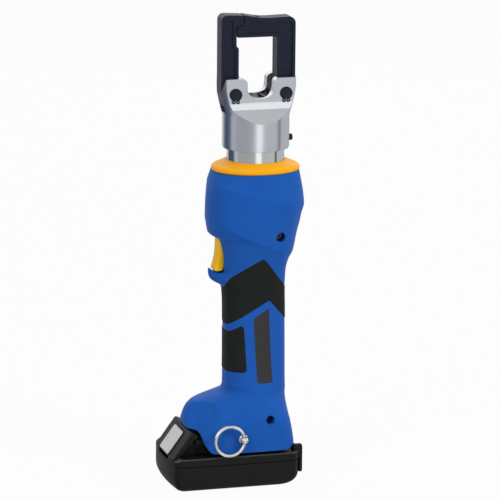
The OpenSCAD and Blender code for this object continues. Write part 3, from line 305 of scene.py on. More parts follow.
# looks: colours as they appear, 0 to 255, roughness from and to, grain's strength, scale and depth
looks = {
    "blue_plastic": {
        "colour": (25, 86, 174), "shade": (32, 95, 184), "rough": (0.4, 0.5), "grain": (0.35, 1500, 0.04),
        "specular": 0.09,
    },
    "yellow_plastic": {
        "colour": (252, 172, 12), "shade": (254, 180, 20), "rough": (0.36, 0.46), "grain": (0.3, 1500, 0.04),
        "specular": 0.22,
    },
    "black_plastic": {
        "colour": (20, 21, 22), "shade": (26, 27, 28), "rough": (0.42, 0.56), "grain": (0.5, 1300, 0.06),
        "specular": 0.2,
    },
    "battery_plastic": {
        "colour": (13, 14, 14), "shade": (19, 20, 20), "rough": (0.44, 0.6), "grain": (0.6, 1100, 0.08),
        "specular": 0.18,
    },
    "black_rubber": {
        "colour": (24, 27, 26), "shade": (31, 34, 33), "rough": (0.6, 0.76), "grain": (0.6, 900, 0.08),
        "specular": 0.15,
    },
    "label_film": {
        "colour": (46, 44, 48), "shade": (52, 50, 54), "rough": (0.28, 0.36), "grain": (0.12, 2200, 0.02),
        "specular": 0.25,
    },
    "satin_steel": {
        "colour": (214, 216, 220), "shade": (204, 207, 212), "rough": (0.2, 0.28), "grain": (0.25, 900, 0.02),
        "metal": 1.0, "roughScale": 500, "stretch": (1, 1, 7), "brushed": 0.3,
    },
    "polished_steel": {
        "colour": (220, 220, 217), "shade": (211, 212, 209), "rough": (0.1, 0.17), "grain": (0.15, 900, 0.01),
        "metal": 1.0, "roughScale": 600, "stretch": (1, 1, 9),
    },
    "blackened_steel": {
        "colour": (17, 24, 40), "shade": (22, 29, 46), "rough": (0.34, 0.46), "grain": (0.35, 1200, 0.04),
        "metal": 0.1, "roughScale": 700, "specular": 0.25,
    },
    "dark_steel": {
        "colour": (70, 73, 80), "shade": (82, 85, 92), "rough": (0.3, 0.42), "grain": (0.25, 1200, 0.03),
        "metal": 0.9,
    },
    "spring_steel": {
        "colour": (150, 152, 156), "shade": (136, 138, 143), "rough": (0.25, 0.38), "grain": (0.2, 1600, 0.02),
        "metal": 1.0,
    },
    "ring_chrome": {
        "colour": (222, 220, 216), "shade": (208, 206, 203), "rough": (0.14, 0.24), "grain": (0.15, 1400, 0.02),
        "metal": 1.0,
    },
    "contact_brass": {
        "colour": (205, 172, 98), "shade": (192, 156, 84), "rough": (0.24, 0.36), "grain": (0.2, 1600, 0.02),
        "metal": 1.0,
    },
    "pump_aluminium": {
        "colour": (168, 171, 175), "shade": (154, 157, 162), "rough": (0.36, 0.5), "grain": (0.5, 700, 0.08),
        "metal": 1.0,
    },
    "grey_plastic": {
        "colour": (200, 202, 201), "shade": (208, 210, 209), "rough": (0.36, 0.48), "grain": (0.35, 1500, 0.04),
    },
    "board_green": {
        "colour": (22, 92, 52), "shade": (28, 104, 60), "rough": (0.26, 0.4), "grain": (0.3, 600, 0.05),
        "patchScale": 220,
    },
    "lead_red": {
        "colour": (170, 32, 30), "shade": (184, 44, 40), "rough": (0.38, 0.5), "grain": (0.2, 1600, 0.03),
    },
    "cell_wrap": {
        "colour": (48, 110, 160), "shade": (58, 122, 172), "rough": (0.22, 0.34), "grain": (0.15, 500, 0.04),
    },
}
finishes = {slotName: makeFinish(slotName, look) for slotName, look in looks.items()}
for part in frame["record"]["subparts"]:  # solids that stay in view take the finish of their slot
    solid = frame["nodes"][part["node"]]
    solid.data.materials.clear()
    solid.data.materials.append(finishes[part["material_slot"]])
print("finishes ready:", len(finishes))


# camera at the photograph's angle
camera = {
    "azimuth": -16.0, "elevation": 13.2, "roll": 0.5, "target": (-4.0, 0.0, 199.5), "distance": 3000.0,
    "lens": 254.4, "sensor": 36, "farEnd": 50,
}
az, el, roll = (math.radians(camera[k]) for k in ("azimuth", "elevation", "roll"))
back = Vector((math.sin(az) * math.cos(el), -math.cos(az) * math.cos(el), math.sin(el)))
level = Vector((math.cos(az), math.sin(az), 0))
upright = back.cross(level)
right = level * math.cos(roll) + upright * math.sin(roll)
up = upright * math.cos(roll) - level * math.sin(roll)
lens = bpy.data.cameras.new("camera")
lens.lens = camera["lens"]
lens.sensor_width = camera["sensor"]
lens.clip_end = camera["farEnd"]
viewer = bpy.data.objects.new("camera", lens)
scene.collection.objects.link(viewer)
turn = Matrix((right, up, back)).transposed().to_4x4()
viewer.matrix_world = Matrix.Translation((Vector(camera["target"]) + back * camera["distance"]) * mm) @ turn
scene.camera = viewer


# studio: floor, world and lamps, in metres
studio = {
    "floorSize": 14.0, "floorGrey": (0.6, 0.6, 0.6, 1), "cameraWhite": 0.95, "worldLight": 0.42,
    "aim": (0, 0, 0.2),
    # what metal mirrors: bearing in degrees from the camera's side (-Y) towards +X, then a colour
    "bands": [
        (-170, (0.7, 0.71, 0.73)), (-158, (0.7, 0.71, 0.73)), (-150, (0.07, 0.09, 0.16)),
        (-114, (0.09, 0.11, 0.19)), (-106, (0.6, 0.61, 0.64)), (-40, (0.46, 0.47, 0.5)),
        (-18, (0.55, 0.56, 0.58)), (-10, (1.3, 1.3, 1.3)), (6, (1.3, 1.3, 1.3)), (12, (0.62, 0.63, 0.64)),
        (66, (0.66, 0.67, 0.69)), (70, (0.1, 0.1, 0.12)), (77, (0.1, 0.1, 0.12)), (80, (0.66, 0.67, 0.69)),
        (118, (0.6, 0.61, 0.63)), (150, (0.5, 0.51, 0.53)),
    ],
    "ceiling": [(0.45, 1.25), (0.75, 0.72)], "ceilingFrom": 0.04, "ceilingFull": 0.22,
    "lamps": {
        "keyLamp": {"from": (1.6, -1.9, 1.8), "size": 1.1, "power": 37},
        "fillLamp": {"from": (-1.8, -1.5, 1.6), "size": 1.3, "power": 18},
        "topLamp": {"from": (0.1, 0.4, 2.4), "size": 1.4, "power": 12},
        "backLamp": {"from": (0.6, 2.0, 1.3), "size": 1.4, "power": 10},
    },
}
bm = bmesh.new()
bmesh.ops.create_grid(bm, x_segments=4, y_segments=4, size=studio["floorSize"])
floorMesh = bpy.data.meshes.new("floor")
bm.to_mesh(floorMesh)
bm.free()
floor = bpy.data.objects.new("floor", floorMesh)
scene.collection.objects.link(floor)
floor.visible_glossy = False  # metal mirrors the bands of the world
paper = bpy.data.materials.new("floorPaper")
paper.use_nodes = True
tree = paper.node_tree
tree.nodes.clear()
matte = addNode(tree, "BsdfDiffuse", {"Color": studio["floorGrey"]})
glow = addNode(tree, "Emission")
rays = addNode(tree, "LightPath")
share = addNode(tree, "Math", {1: studio["cameraWhite"]}, operation="MULTIPLY")
blendIn = addNode(tree, "MixShader")
output = addNode(tree, "OutputMaterial")
wire(
    tree, (rays, "Is Camera Ray", share, 0), (share, "Value", blendIn, "Fac"), (matte, "BSDF", blendIn, 1),
    (glow, "Emission", blendIn, 2), (blendIn, "Shader", output, "Surface"),
)
floorMesh.materials.append(paper)

# world: even pale light; metal mirrors the bands under a ceiling of its own brightness
world = bpy.data.worlds.new("studio")
scene.world = world
world.use_nodes = True
tree = world.node_tree
tree.nodes.clear()
where = addNode(tree, "TexCoord")
parts = addNode(tree, "SeparateXYZ")
angle = addNode(tree, "Math", operation="ARCTAN2")
turnShare = addNode(tree, "MapRange", {"From Min": -math.pi, "From Max": math.pi})
bands = addNode(tree, "ValToRGB")
ceiling = addNode(tree, "ValToRGB")
lift = addNode(tree, "MapRange", {"From Min": studio["ceilingFrom"], "From Max": studio["ceilingFull"]})
overhead = addNode(tree, "Mix", data_type="RGBA")
plain = addNode(tree, "Background", {"Color": (1, 1, 1, 1), "Strength": studio["worldLight"]})
mirrored = addNode(tree, "Background")
white = addNode(tree, "Background", {"Color": (1, 1, 1, 1)})
rays = addNode(tree, "LightPath")
glossy = addNode(tree, "MixShader")
seen = addNode(tree, "MixShader")
output = addNode(tree, "OutputWorld")
wire(
    tree, (where, "Generated", parts, "Vector"), (parts, "Y", angle, 0), (parts, "X", angle, 1),
    (angle, "Value", turnShare, "Value"), (turnShare, "Result", bands, "Fac"), (parts, "Z", ceiling, "Fac"),
    (parts, "Z", lift, "Value"), (lift, "Result", overhead, "Factor"), (bands, "Color", overhead, "A"),
    (ceiling, "Color", overhead, "B"), (overhead, "Result", mirrored, "Color"),
    (rays, "Is Glossy Ray", glossy, "Fac"), (plain, "Background", glossy, 1),
    (mirrored, "Background", glossy, 2), (rays, "Is Camera Ray", seen, "Fac"), (glossy, "Shader", seen, 1),
    (white, "Background", seen, 2), (seen, "Shader", output, "Surface"),
)
stops = bands.color_ramp.elements
places = sorted((((bearing + 90) % 360) / 360, shade) for bearing, shade in studio["bands"])
while len(stops) < len(places):
    stops.new(0.5)
for stop, (position, shade) in zip(stops, places):
    stop.position = position
for stop, (position, shade) in zip(stops, places):
    stop.color = (*shade, 1)
for stop, (position, grey) in zip(ceiling.color_ramp.elements, studio["ceiling"]):
    stop.position = position
    stop.color = (grey, grey, grey, 1)

for name, lamp in studio["lamps"].items():
    light = bpy.data.lights.new(name, "AREA")
    light.size = lamp["size"]
    light.energy = lamp["power"]
    item = bpy.data.objects.new(name, light)
    scene.collection.objects.link(item)
    item.visible_glossy = False  # metal mirrors the bands of the world instead
    aim = Vector(studio["aim"]) - Vector(lamp["from"])
    item.matrix_world = Matrix.Translation(lamp["from"]) @ aim.to_track_quat("-Z", "Y").to_matrix().to_4x4()
scene.view_settings.view_transform = "Standard"
print("camera, floor and lamps ready")


# housing: rows of height, front, rear, side and squareness
housing = {
    "foot": 31.0, "wall": 2.5, "around": 96, "rowStep": 0.95, "seam": 0.45, "seamDepth": 0.35,
    "seamGap": 0.03,
    "rimShares": (0.0, 0.55, 0.88),  # fullness of the wall at its upper and lower edge, which close round
    "rows": [
        (31.0, 62.0, 31.8, 35.0, 4.2), (45.1, 62.2, 29.7, 34.8, 4.05), (55.0, 62.8, 28.0, 34.3, 3.65),
        (59.9, 62.0, 27.1, 33.6, 3.25), (65.9, 60.0, 26.7, 31.6, 2.65), (70.9, 55.0, 26.7, 29.0, 2.2),
        (75.0, 41.0, 26.9, 26.9, 2.0), (79.0, 28.8, 26.9, 25.3, 2.15), (84.1, 26.5, 26.6, 23.9, 2.35),
        (91.0, 26.5, 26.3, 22.4, 2.55), (105.1, 26.5, 26.2, 21.2, 2.6), (129.9, 26.6, 25.9, 20.8, 2.6),
        (155.0, 26.8, 25.4, 21.0, 2.6), (167.0, 27.6, 25.1, 21.6, 2.6), (175.4, 29.2, 25.4, 22.3, 2.6),
        (184.0, 29.8, 25.9, 23.1, 2.5), (193.5, 30.2, 27.9, 24.4, 2.5), (200.0, 30.8, 31.2, 25.6, 2.5),
        (206.9, 32.2, 33.6, 27.0, 2.4), (213.0, 34.8, 35.0, 28.0, 2.3), (214.7, 38.4, 35.4, 28.3, 2.3),
        (216.4, 40.3, 35.8, 28.6, 2.3), (219.6, 41.0, 36.6, 29.1, 2.3), (224.1, 41.5, 37.8, 29.8, 2.3),
        (233.0, 42.1, 39.8, 30.6, 2.3), (240.1, 42.0, 41.8, 31.0, 2.3), (249.9, 41.2, 40.9, 31.0, 2.3),
        (262.1, 39.2, 38.8, 30.8, 2.2), (270.0, 37.1, 37.1, 30.3, 2.2),
    ],
    "frontSquare": [  # the foot's front is rounder than its rear
        (31.0, 4.2), (45.0, 3.9), (52.0, 3.2), (58.0, 2.6), (63.0, 2.2), (70.0, 2.0), (79.0, 2.1),
        (84.1, 2.35), (91.0, 2.55),
    ],
    "nose": [  # finger rest under the trigger: height and reach at the seam
        (166.5, 0.0), (168.5, 0.3), (170.3, 1.2), (172.0, 3.2), (173.5, 5.6), (175.2, 8.2), (176.8, 9.6),
        (178.4, 10.5), (181.0, 11.0), (184.0, 11.1), (185.8, 10.8), (187.2, 8.0), (189.0, 4.4), (191.5, 1.6),
        (195.0, 0.0),
    ],
    "noseWidth": 10.5, "noseRim": (4.4, 3.6), "noseFloor": (0.4, 1.6),
    "skirt": [  # lower edge: X and height
        (-66, 51.0), (-62, 50.2), (-58.5, 48.6), (-54.5, 45.0), (-51, 39.5), (-48.5, 35.2), (-45.5, 32.0),
        (-42, 31.0), (20, 31.0), (25, 32.8), (29, 35.2), (33, 36.8), (36, 37.2),
    ],
    "skirtJoin": 92.0,
    # style creases: X and height of the line, how far it stands out (or sinks in, where negative), its reach
    # above and below, and where along X it comes and goes
    "creases": [
        {"line": [(-46, 262.0), (-35.5, 260.6), (-28.9, 259.2), (-20.8, 257.1), (-10.6, 254.0), (-1.4, 250.9),
                  (8.9, 248.0), (21.6, 245.1), (44, 241.5)],
         "step": 2.3, "above": 10, "below": 26, "fade": (-44, -33, 16, 36)},
        {"line": [(-46, 229.4), (-40.9, 227.4), (-35.8, 225.4), (-27.3, 222.4), (-17.2, 217.9), (-7.1, 212.9),
                  (3.2, 208.3), (11.6, 204.9), (19.6, 202.5), (40, 199.0)],
         "step": 3.5, "above": 26, "below": 8, "fade": (-44, -33, 16, 36)},
        {"line": [(-70, 47.0), (-65.6, 52.6), (-59.3, 58.6), (-53.0, 63.6), (-46.7, 67.0), (-40.3, 69.4),
                  (-34, 71.0)],
         "step": -2.0, "above": 3.0, "below": 12, "fade": (-74, -70, -46, -35)},
        {"line": [(-36, 58.3), (-31, 59.2), (-11.6, 62.2), (6.9, 64.9), (15.8, 65.6), (30, 66.4)],
         "step": -1.5, "above": 9, "below": 2.4, "fade": (-36, -22, 16, 27)},
        {"line": [(-36, 88.8), (-33.6, 88.2), (-18.6, 84.6), (0.8, 82.4), (13.2, 85.1), (28, 89)],
         "step": 1.0, "above": 4, "below": 9, "fade": (-32, -20, 12, 24)},
    ],
    # flat on each front corner of the foot: the way it faces, its distance from the origin and its upper end
    "facet": {"way": (-0.612, -0.646, 0.456), "reach": 69.8, "below": 92.0},
    "slot": 8.2, "slotBack": -14.0, "slotRim": -38.7, "slotFront": -50, "slotFloor": 182.5, "rimTop": 185.3,
    "slotTop": 213.5, "webBack": -20.0,
    # ceiling of the battery bay and the rail under the battery's flange: lower and upper face, inner edge
    "shelves": [(46.4, 48.9, 0.04), (33.9, 36.7, 19.8)], "shelf": [(-40, -33.2), (12, -33.2), (21.5, -30.5)],
    # X, height, radius, outer end of the boss
    "screwHoles": [(14.5, 216.1, 4.4, 26.0), (5.9, 58.0, 3.8, 32.6)],
    "bossWall": 1.3, "bossBack": 4.0, "seat": 19.2, "wellEnd": 48,
}
rowCurves = [curveThrough([(row[0], row[k]) for row in housing["rows"]]) for k in range(1, 5)]
noseCurve = curveThrough(housing["nose"])
frontSquare = curveThrough(housing["frontSquare"])
skirtEdge = curveThrough(housing["skirt"])
for crease in housing["creases"]:
    crease["height"] = curveThrough(crease["line"])


def squareness(x, z):
    return frontSquare(z) if x < 0 and z < housing["frontSquare"][-1][0] else rowCurves[3](z)


def sectionPoint(a, z):  # angle 0 is the rear seam, pi the front seam, on the -Y side
    front, rear, side = (c(z) for c in rowCurves[:3])
    c, s = math.cos(a), max(math.sin(a), 0.0)
    square = squareness(c, z)
    x = math.copysign((rear if c > 0 else front) * abs(c) ** (2 / square), c)
    y = -side * s ** (2 / square)
    if c < 0:  # above its floor only the rim of the finger rest stays
        (inner, width), (drop, height) = housing["noseRim"], housing["noseFloor"]
        rim = ease((z - housing["slotFloor"] + drop) / height) * ease((abs(y) - inner) / width)
        x -= noseCurve(z) * math.exp(-((y / housing["noseWidth"]) ** 2)) * (1 - rim)
    return x, y


def outward(before, after):
    tx, ty = after[0] - before[0], after[1] - before[1]
    size = math.hypot(tx, ty)
    return -ty / size, tx / size


def halfSection(z, count=120):  # X, Y and the outward direction from seam to seam
    flat = [sectionPoint(math.pi * i / count, z) for i in range(count + 1)]
    points = []
    for i, (x, y) in enumerate(flat):
        points.append((x, y, *outward(flat[max(i - 1, 0)], flat[min(i + 1, count)])))
    return points


def spaced(section, shares):  # points of a section at shares of its length
    points = []
    for x, y, nx, ny in pointsAlong(section, shares):
        size = math.hypot(nx, ny)
        points.append((x, y, nx / size, ny / size))
    return points


def creaseRise(x, z, facing):  # how far the skin stands out at the style creases
    rise = 0.0
    for crease in housing["creases"]:
        a, b, c, d = crease["fade"]
        weight = ease((x - a) / (b - a)) * (1 - ease((x - c) / (d - c)))
        away = z - crease["height"](x)
        reach = crease["above"] if away > 0 else crease["below"]
        if weight and abs(away) < 5 * reach:
            rise += crease["step"] * weight * math.exp(-math.sqrt(away * away + 0.25) / reach)
    return rise * ease(facing * 1.6)


def flattened(x, y, z, nx, ny, depth):  # brings a skin back to the foot's facet
    facet = housing["facet"]
    a, b, c = facet["way"]
    over = a * x + b * y + c * z - facet["reach"] + depth
    if over <= 0 or z > facet["below"]:
        return x, y
    back = over / max(a * nx + b * ny, 0.2)
    return x - nx * back, y - ny * back


def skirtHeight(x, z):  # pulls the lowest rows up to the skirt's edge
    foot, join = housing["foot"], housing["skirtJoin"]
    return z if z >= join else mix(skirtEdge(x), join, (z - foot) / (join - foot))


def shellLevels():
    heights = [row[0] for row in housing["rows"]]
    levels = []
    for low, high in zip(heights, heights[1:]):
        steps = max(1, round((high - low) / housing["rowStep"]))
        levels += [mix(low, high, k / steps) for k in range(steps)]
    rim = len(housing["rimShares"])
    return [heights[0]] * rim + levels + [heights[-1]] * (rim + 1)


def makeShell():  # left half as a closed band: outer skin, seam, inner skin, seam
    n, wall, rim = housing["around"], housing["wall"], housing["rimShares"]
    levels = shellLevels()
    loops = []
    for k, level in enumerate(levels):
        edge = min(k, len(levels) - 1 - k)
        fullness = rim[edge] if edge < len(rim) else 1.0
        sink = wall / 2 * (1 - math.sqrt(1 - fullness ** 2)) if edge < len(rim) else 0
        section = halfSection(level)
        near = housing["seam"] / lengthsAlong(section)[-1]
        shares = [0, near] + [mix(near, 1 - near, i / (n - 2)) for i in range(1, n - 2)] + [1 - near, 1]
        outer, inner = [], []
        for share, (x, y, nx, ny) in zip(shares, spaced(section, shares)):
            z = skirtHeight(x, level)
            if z != level:  # the skin bends with the skirt, so the section there is used
                x, y, nx, ny = spaced(halfSection(z), [share])[0]
            rise = creaseRise(x, z, abs(ny))
            seam = housing["seamDepth"] if share in (0, 1) else 0
            z += sink if k < len(rim) else -sink
            outside = (outer, -seam - wall / 2 * (1 - fullness), 0, rise)
            inside = (inner, -wall / 2 * (1 + fullness), wall, min(rise, 0))
            for skin, into, depth, more in (outside, inside):
                sx, sy = flattened(x + nx * into, y + ny * into, z, nx, ny, depth)
                skin.append((sx + nx * more, min(sy + ny * more, 0) - housing["seamGap"], z))
        loops.append(outer + inner[::-1])
    return loft(loops)


def web(low, high, back, inset=1.3, seam=-0.04):  # flat web inside the left half, in front of X = back
    section = [p for p in halfSection((low + high) / 2, 90) if p[0] < back]
    corners = [(x - nx * inset, min(y - ny * inset, seam)) for x, y, nx, ny in section]
    return prism(corners + [(back, seam)], "Z", low, high)


def cutSlot(shell):  # mouth of the trigger, with a lower floor behind the rim
    rim, front, back = housing["slotRim"], housing["slotFront"], housing["slotBack"]
    low, middle, high = housing["slotFloor"], housing["rimTop"], housing["slotTop"]
    corners = [(rim, low), (rim, middle), (front, middle), (front, high), (back, high), (back, low)]
    carve(shell, prism(corners, "Y", -housing["slot"], housing["slot"]))


leftShell = makeShell()
slotLow, slotHigh = housing["slotFloor"], housing["slotTop"]
for low, high in ((slotLow - 2.2, slotLow + 0.4), (slotHigh - 0.2, slotHigh + 1.6)):
    carve(leftShell, web(low, high, housing["webBack"]), "UNION")
for low, high, near in housing["shelves"]:
    shelf = [(housing["shelf"][0][0], -near)] + housing["shelf"] + [(housing["shelf"][-1][0], -near)]
    carve(leftShell, prism(shelf, "Z", low, high), "UNION")
rightShell = leftShell.copy()
mirrorAcross(rightShell)
print("shell rows ready:", len(leftShell.faces))

bosses, wells = [], []
for x, z, radius, end in housing["screwHoles"]:
    bosses.append(rod(radius + housing["bossWall"], housing["bossBack"], end, (x, 0, z), (0, -1, 0), 40))
    wells.append(rod(radius, housing["seat"], housing["wellEnd"], (x, 0, z), (0, -1, 0)))
carve(leftShell, joined(*bosses), "UNION")
carve(leftShell, joined(*wells))
cutSlot(leftShell)
cutSlot(rightShell)
addPiece("leftHousing", leftShell, "blue_plastic", "body", "left_housing", even=False)
addPiece("rightHousing", rightShell, "blue_plastic", "body", "right_housing", even=False)
print("housing ready")


# rubber inlays and label: patches on the housing's skin, edges by share of the way to the seam and by height
inlays = {
    "edge": 1.1, "drop": 0.45, "rubberProud": 0.4, "labelProud": 0.12, "sunk": 0.5,
    "bandHigh": [
        (-1.0, 169.9), (-0.975, 171.2), (-0.91, 174.7), (-0.83, 179.7), (-0.725, 183.1), (-0.468, 188.8),
        (-0.226, 193.3), (-0.023, 196.8), (0.03, 197.2), (0.087, 195.8), (0.288, 189.4), (0.584, 180.0),
        (0.883, 171.3), (1.0, 168.4),
    ],
    "bandLow": [
        (-1.0, 137.0), (-0.97, 138.3), (-0.9, 139.7), (-0.747, 142.8), (-0.39, 149.2), (-0.004, 155.3),
        (0.25, 159.0), (0.3, 159.3), (0.34, 158.4), (0.427, 156.0), (0.667, 148.8), (0.83, 144.0),
        (1.0, 139.6),
    ],
    "padHigh": [
        (-1.0, 132.4), (-0.975, 132.5), (-0.9, 133.2), (-0.778, 135.6), (-0.647, 138.0), (-0.575, 138.4),
        (-0.45, 138.5),
    ],
    "padLow": [(-1.0, 96.4), (-0.92, 97.0), (-0.745, 97.1), (-0.59, 97.2), (-0.4, 97.5)],
    "labelHigh": [(-0.3, 144.6), (-0.256, 145.0), (0.26, 153.6), (0.3, 153.4), (0.35, 153.0)],
    "labelLow": [(-1.0, 86.9), (1.0, 86.9)],
    "pastSeam": 80, "padEdge": (-11.5, -14.0), "labelEdges": ((-3.3, -7.3), (11.2, 7.7)),
}


def straightThrough(points, soft=0.025):  # straight runs with lightly rounded corners
    def line(x):
        for (xa, ya), (xb, yb) in zip(points, points[1:]):
            if x <= xb:
                return mix(ya, yb, clamp((x - xa) / (xb - xa)))
        return points[-1][1]

    return lambda x: sum(line(x + soft * k) for k in (-1, -0.5, 0, 0.5, 1)) / 5


edges = {key: straightThrough(line) for key, line in inlays.items() if isinstance(line, list)}


def angleAt(x, z):
    reach = rowCurves[1 if x > 0 else 0](z)
    return math.acos(math.copysign(clamp(abs(x) / reach) ** (squareness(x, z) / 2), x))


def skinPoint(a, z, proud, step=0.004):
    x, y = sectionPoint(a, z)
    nx, ny = outward(sectionPoint(max(a - step, 0), z), sectionPoint(min(a + step, math.pi), z))
    proud += creaseRise(x, z, abs(ny))
    return x + nx * proud, min(y + ny * proud, -0.02), z


def roundOff(share):  # fall of a quarter circle, 1 at share 0 and 0 at share 1
    return 1 - math.sqrt(max(0.0, 1 - (1 - share) ** 2))


def makeInlay(name, slotName, node, span, kind, proud, grid, corners, side=1):
    # span(z) gives the X limits, kind names the lower and upper edge, corners the radius at the two X limits
    low, high = edges[kind + "Low"], edges[kind + "High"]

    def place(u, v):
        z = mix(low(0), high(0), v)
        for _ in range(7):  # the edges depend on the angle and the angle on the height
            xa, xb = span(z)
            a = mix(angleAt(xa, z), angleAt(xb, z), u)
            x, y = sectionPoint(a, z)
            share = math.copysign(abs(math.cos(a)) ** (2 / squareness(math.cos(a), z)), math.cos(a))
            za, zb = low(share), high(share)
            rim = 99.0
            for limit, radius in zip((xa, xb), corners):
                if radius:
                    rim = min(rim, abs(x - limit))
                    if abs(x - limit) < radius:
                        pull = radius * roundOff(abs(x - limit) / radius)
                        za, zb = za + pull, zb - pull
            z = mix(za, zb, v)
        rim = min(rim, z - za, zb - z)
        return skinPoint(a, z, proud - inlays["drop"] * roundOff(clamp(rim / inlays["edge"])))

    bm = gridSkin(*grid, place)
    bmesh.ops.remove_doubles(bm, verts=bm.verts, dist=1e-6)
    bmesh.ops.recalc_face_normals(bm, faces=bm.faces)
    middle = bm.faces[:][len(bm.faces) // 2]
    if middle.normal.dot(middle.calc_center_median() * Vector((1, 1, 0))) < 0:
        bmesh.ops.reverse_faces(bm, faces=bm.faces)
    if side < 0:
        mirrorAcross(bm)
    piece = showPiece(name, bm, finishes[slotName], "body", node)
    thick = piece.modifiers.new("thickness", "SOLIDIFY")
    thick.thickness = (proud + inlays["sunk"]) * mm
    thick.offset = -1


def seamToSeam(z):
    return -inlays["pastSeam"], inlays["pastSeam"]


def seamToPadEdge(z):
    return -inlays["pastSeam"], mix(*inlays["padEdge"], (z - 98) / 38)


def labelSpan(z):
    return tuple(mix(*limits, (z - 87) / 65) for limits in inlays["labelEdges"])


proud = inlays["rubberProud"]
for name, node, side in (("gripBandLeft", "grip_band_left", 1), ("gripBandRight", "grip_band_right", -1)):
    makeInlay(name, "black_rubber", node, seamToSeam, "band", proud, (120, 44), (0, 0), side)
for name, node, side in (("gripPadLeft", "grip_pad_left", 1), ("gripPadRight", "grip_pad_right", -1)):
    makeInlay(name, "black_rubber", node, seamToPadEdge, "pad", proud, (60, 44), (0, 3.4), side)
makeInlay("labelPlate", "label_film", "label", labelSpan, "label", inlays["labelProud"], (40, 60), (1.2, 1.2))
print("grips and label ready")


# trim ring: a dished ring over the housing's top
trim = {
    "reach": 37.2, "side": 30.2, "square": 2.2, "neck": 24.55, "low": 270.05, "around": 160,
    "profile": [  # share of the way from neck to rim, height
        (0.0, 0.0), (0.93, 0.0), (0.99, 0.25), (1.025, 1.0), (1.03, 2.0), (1.015, 2.9), (0.97, 3.8),
        (0.88, 4.6), (0.74, 5.3), (0.56, 6.1), (0.4, 6.9), (0.26, 7.7), (0.15, 8.4), (0.06, 8.85),
        (0.02, 8.95), (0.0, 8.7), (0.0, 4.0),
    ],
}
power = 2 / trim["square"]
loops = []
for share, height in trim["profile"]:
    loop = []
    for k in range(trim["around"]):
        a = 2 * math.pi * k / trim["around"]
        c, s = math.cos(a), math.sin(a)
        x = mix(trim["neck"] * c, math.copysign(trim["reach"] * abs(c) ** power, c), share)
        y = mix(trim["neck"] * s, math.copysign(trim["side"] * abs(s) ** power, s), share)
        loop.append((x, y, trim["low"] + height))
    loops.append(loop)
addPiece("trimRing", loft(loops, True), "yellow_plastic", "body", "trim_ring", 60, False)

# neck of the cylinder, polished, with its bore
neck = {
    "profile": [
        (12.3, 224.2), (24.1, 224.2), (24.4, 224.6), (24.4, 303.0), (23.9, 303.4), (12.3, 303.4),
        (12.3, 291.6), (18.9, 291.6), (18.9, 231.2), (12.3, 231.2), (12.3, 224.2),
    ],
    "steps": 160,
}
addPiece("neckCylinder", turned(neck["profile"], steps=neck["steps"]), "polished_steel", "body", "cylinder")
print("trim ring and neck ready")


# yoke: turned body cut to flats, slotted and bored
yoke = {
    "turned": [
        (0, 288.5), (26.2, 288.5), (27.9, 289.2), (28.4, 290.6), (28.4, 316.6), (29.1, 320), (30.2, 324),
        (31.2, 328), (32.3, 333), (33.2, 338), (33.6, 343), (33.6, 350), (0, 350),
    ],
    "flats": [(29.8, 288), (29.8, 311.4), (17.2, 324.0), (15.5, 329.9), (15.5, 351)],
    "window": {"half": 11.6, "flare": 4.5, "flareLow": 345.5, "bowl": 343.4, "depth": 10.5, "square": 2.5},
    # lead-in cut on the latch side's ears: three points of its plane
    "lead": ((-30.6, -15.5, 350.2), (-32.4, -7.3, 337.6), (-24.0, -7.3, 350.0)),
    "leadBox": (-50, -15, -20, -2, 325, 360),
    "past": 40, "top": 352, "slot": 7.3, "slotFloor": 320.3, "ramBore": (12.08, 300, 340),
    "neckBore": (24.5, 287, 303.8), "pinBore": 4.28, "pins": (-21.9, 21.9), "pinHeight": 336.8,
}
latchX, hingeX = yoke["pins"]
pinHeight = yoke["pinHeight"]


def windowOutline():  # flared mouth and round bowl, as seen from the side
    w = yoke["window"]
    power = 2 / w["square"]
    half = [(w["half"] + w["flare"], yoke["top"])]
    for k in range(11):
        a = math.radians(9 * k)
        half.append((w["half"] + w["flare"] * (1 - math.sin(a)), w["flareLow"] + w["flare"] * math.cos(a)))
    for k in range(19):
        a = math.radians(5 * k)
        half.append((w["half"] * max(math.cos(a), 0) ** power, w["bowl"] - w["depth"] * math.sin(a) ** power))
    return half[:-1] + [(0, half[-1][1])] + [(-x, z) for x, z in reversed(half[:-1])]


def leadCut(side):
    a, b, c = (Vector(p) * mm for p in yoke["lead"])
    out = (b - a).cross(c - a).normalized()
    out = -out if out.x > 0 else out
    size = yoke["past"] * mm
    bm = bmesh.new()
    bmesh.ops.create_cube(bm, size=size)
    lay = Vector((0, 0, 1)).rotation_difference(out).to_matrix().to_4x4()
    bmesh.ops.transform(bm, matrix=Matrix.Translation((a + b + c) / 3 + out * size / 2) @ lay, verts=bm.verts)
    carve(bm, block(*yoke["leadBox"]), "INTERSECT")
    bmesh.ops.scale(bm, vec=(1, side, 1), verts=bm.verts)
    return bm


bm = turned(yoke["turned"], steps=144)
flats = yoke["flats"] + [(-y, z) for y, z in reversed(yoke["flats"])]
past, slot = yoke["past"], yoke["slot"]
carve(bm, prism(flats, "X", -past, past), "INTERSECT")
carve(bm, prism(windowOutline(), "Y", -past, past))
carve(bm, block(-past, past, -slot, slot, yoke["slotFloor"], yoke["top"]))
for side in (1, -1):
    carve(bm, leadCut(side))
carve(bm, rod(*yoke["ramBore"], steps=96))
carve(bm, rod(*yoke["neckBore"], steps=144))
softenEdges(bm, 0.5, 22)
for x in yoke["pins"]:
    carve(bm, rod(yoke["pinBore"], -20, 20, (x, 0, pinHeight), (0, 1, 0)))
addPiece("yoke", bm, "satin_steel", "head", "yoke")
print("yoke ready")


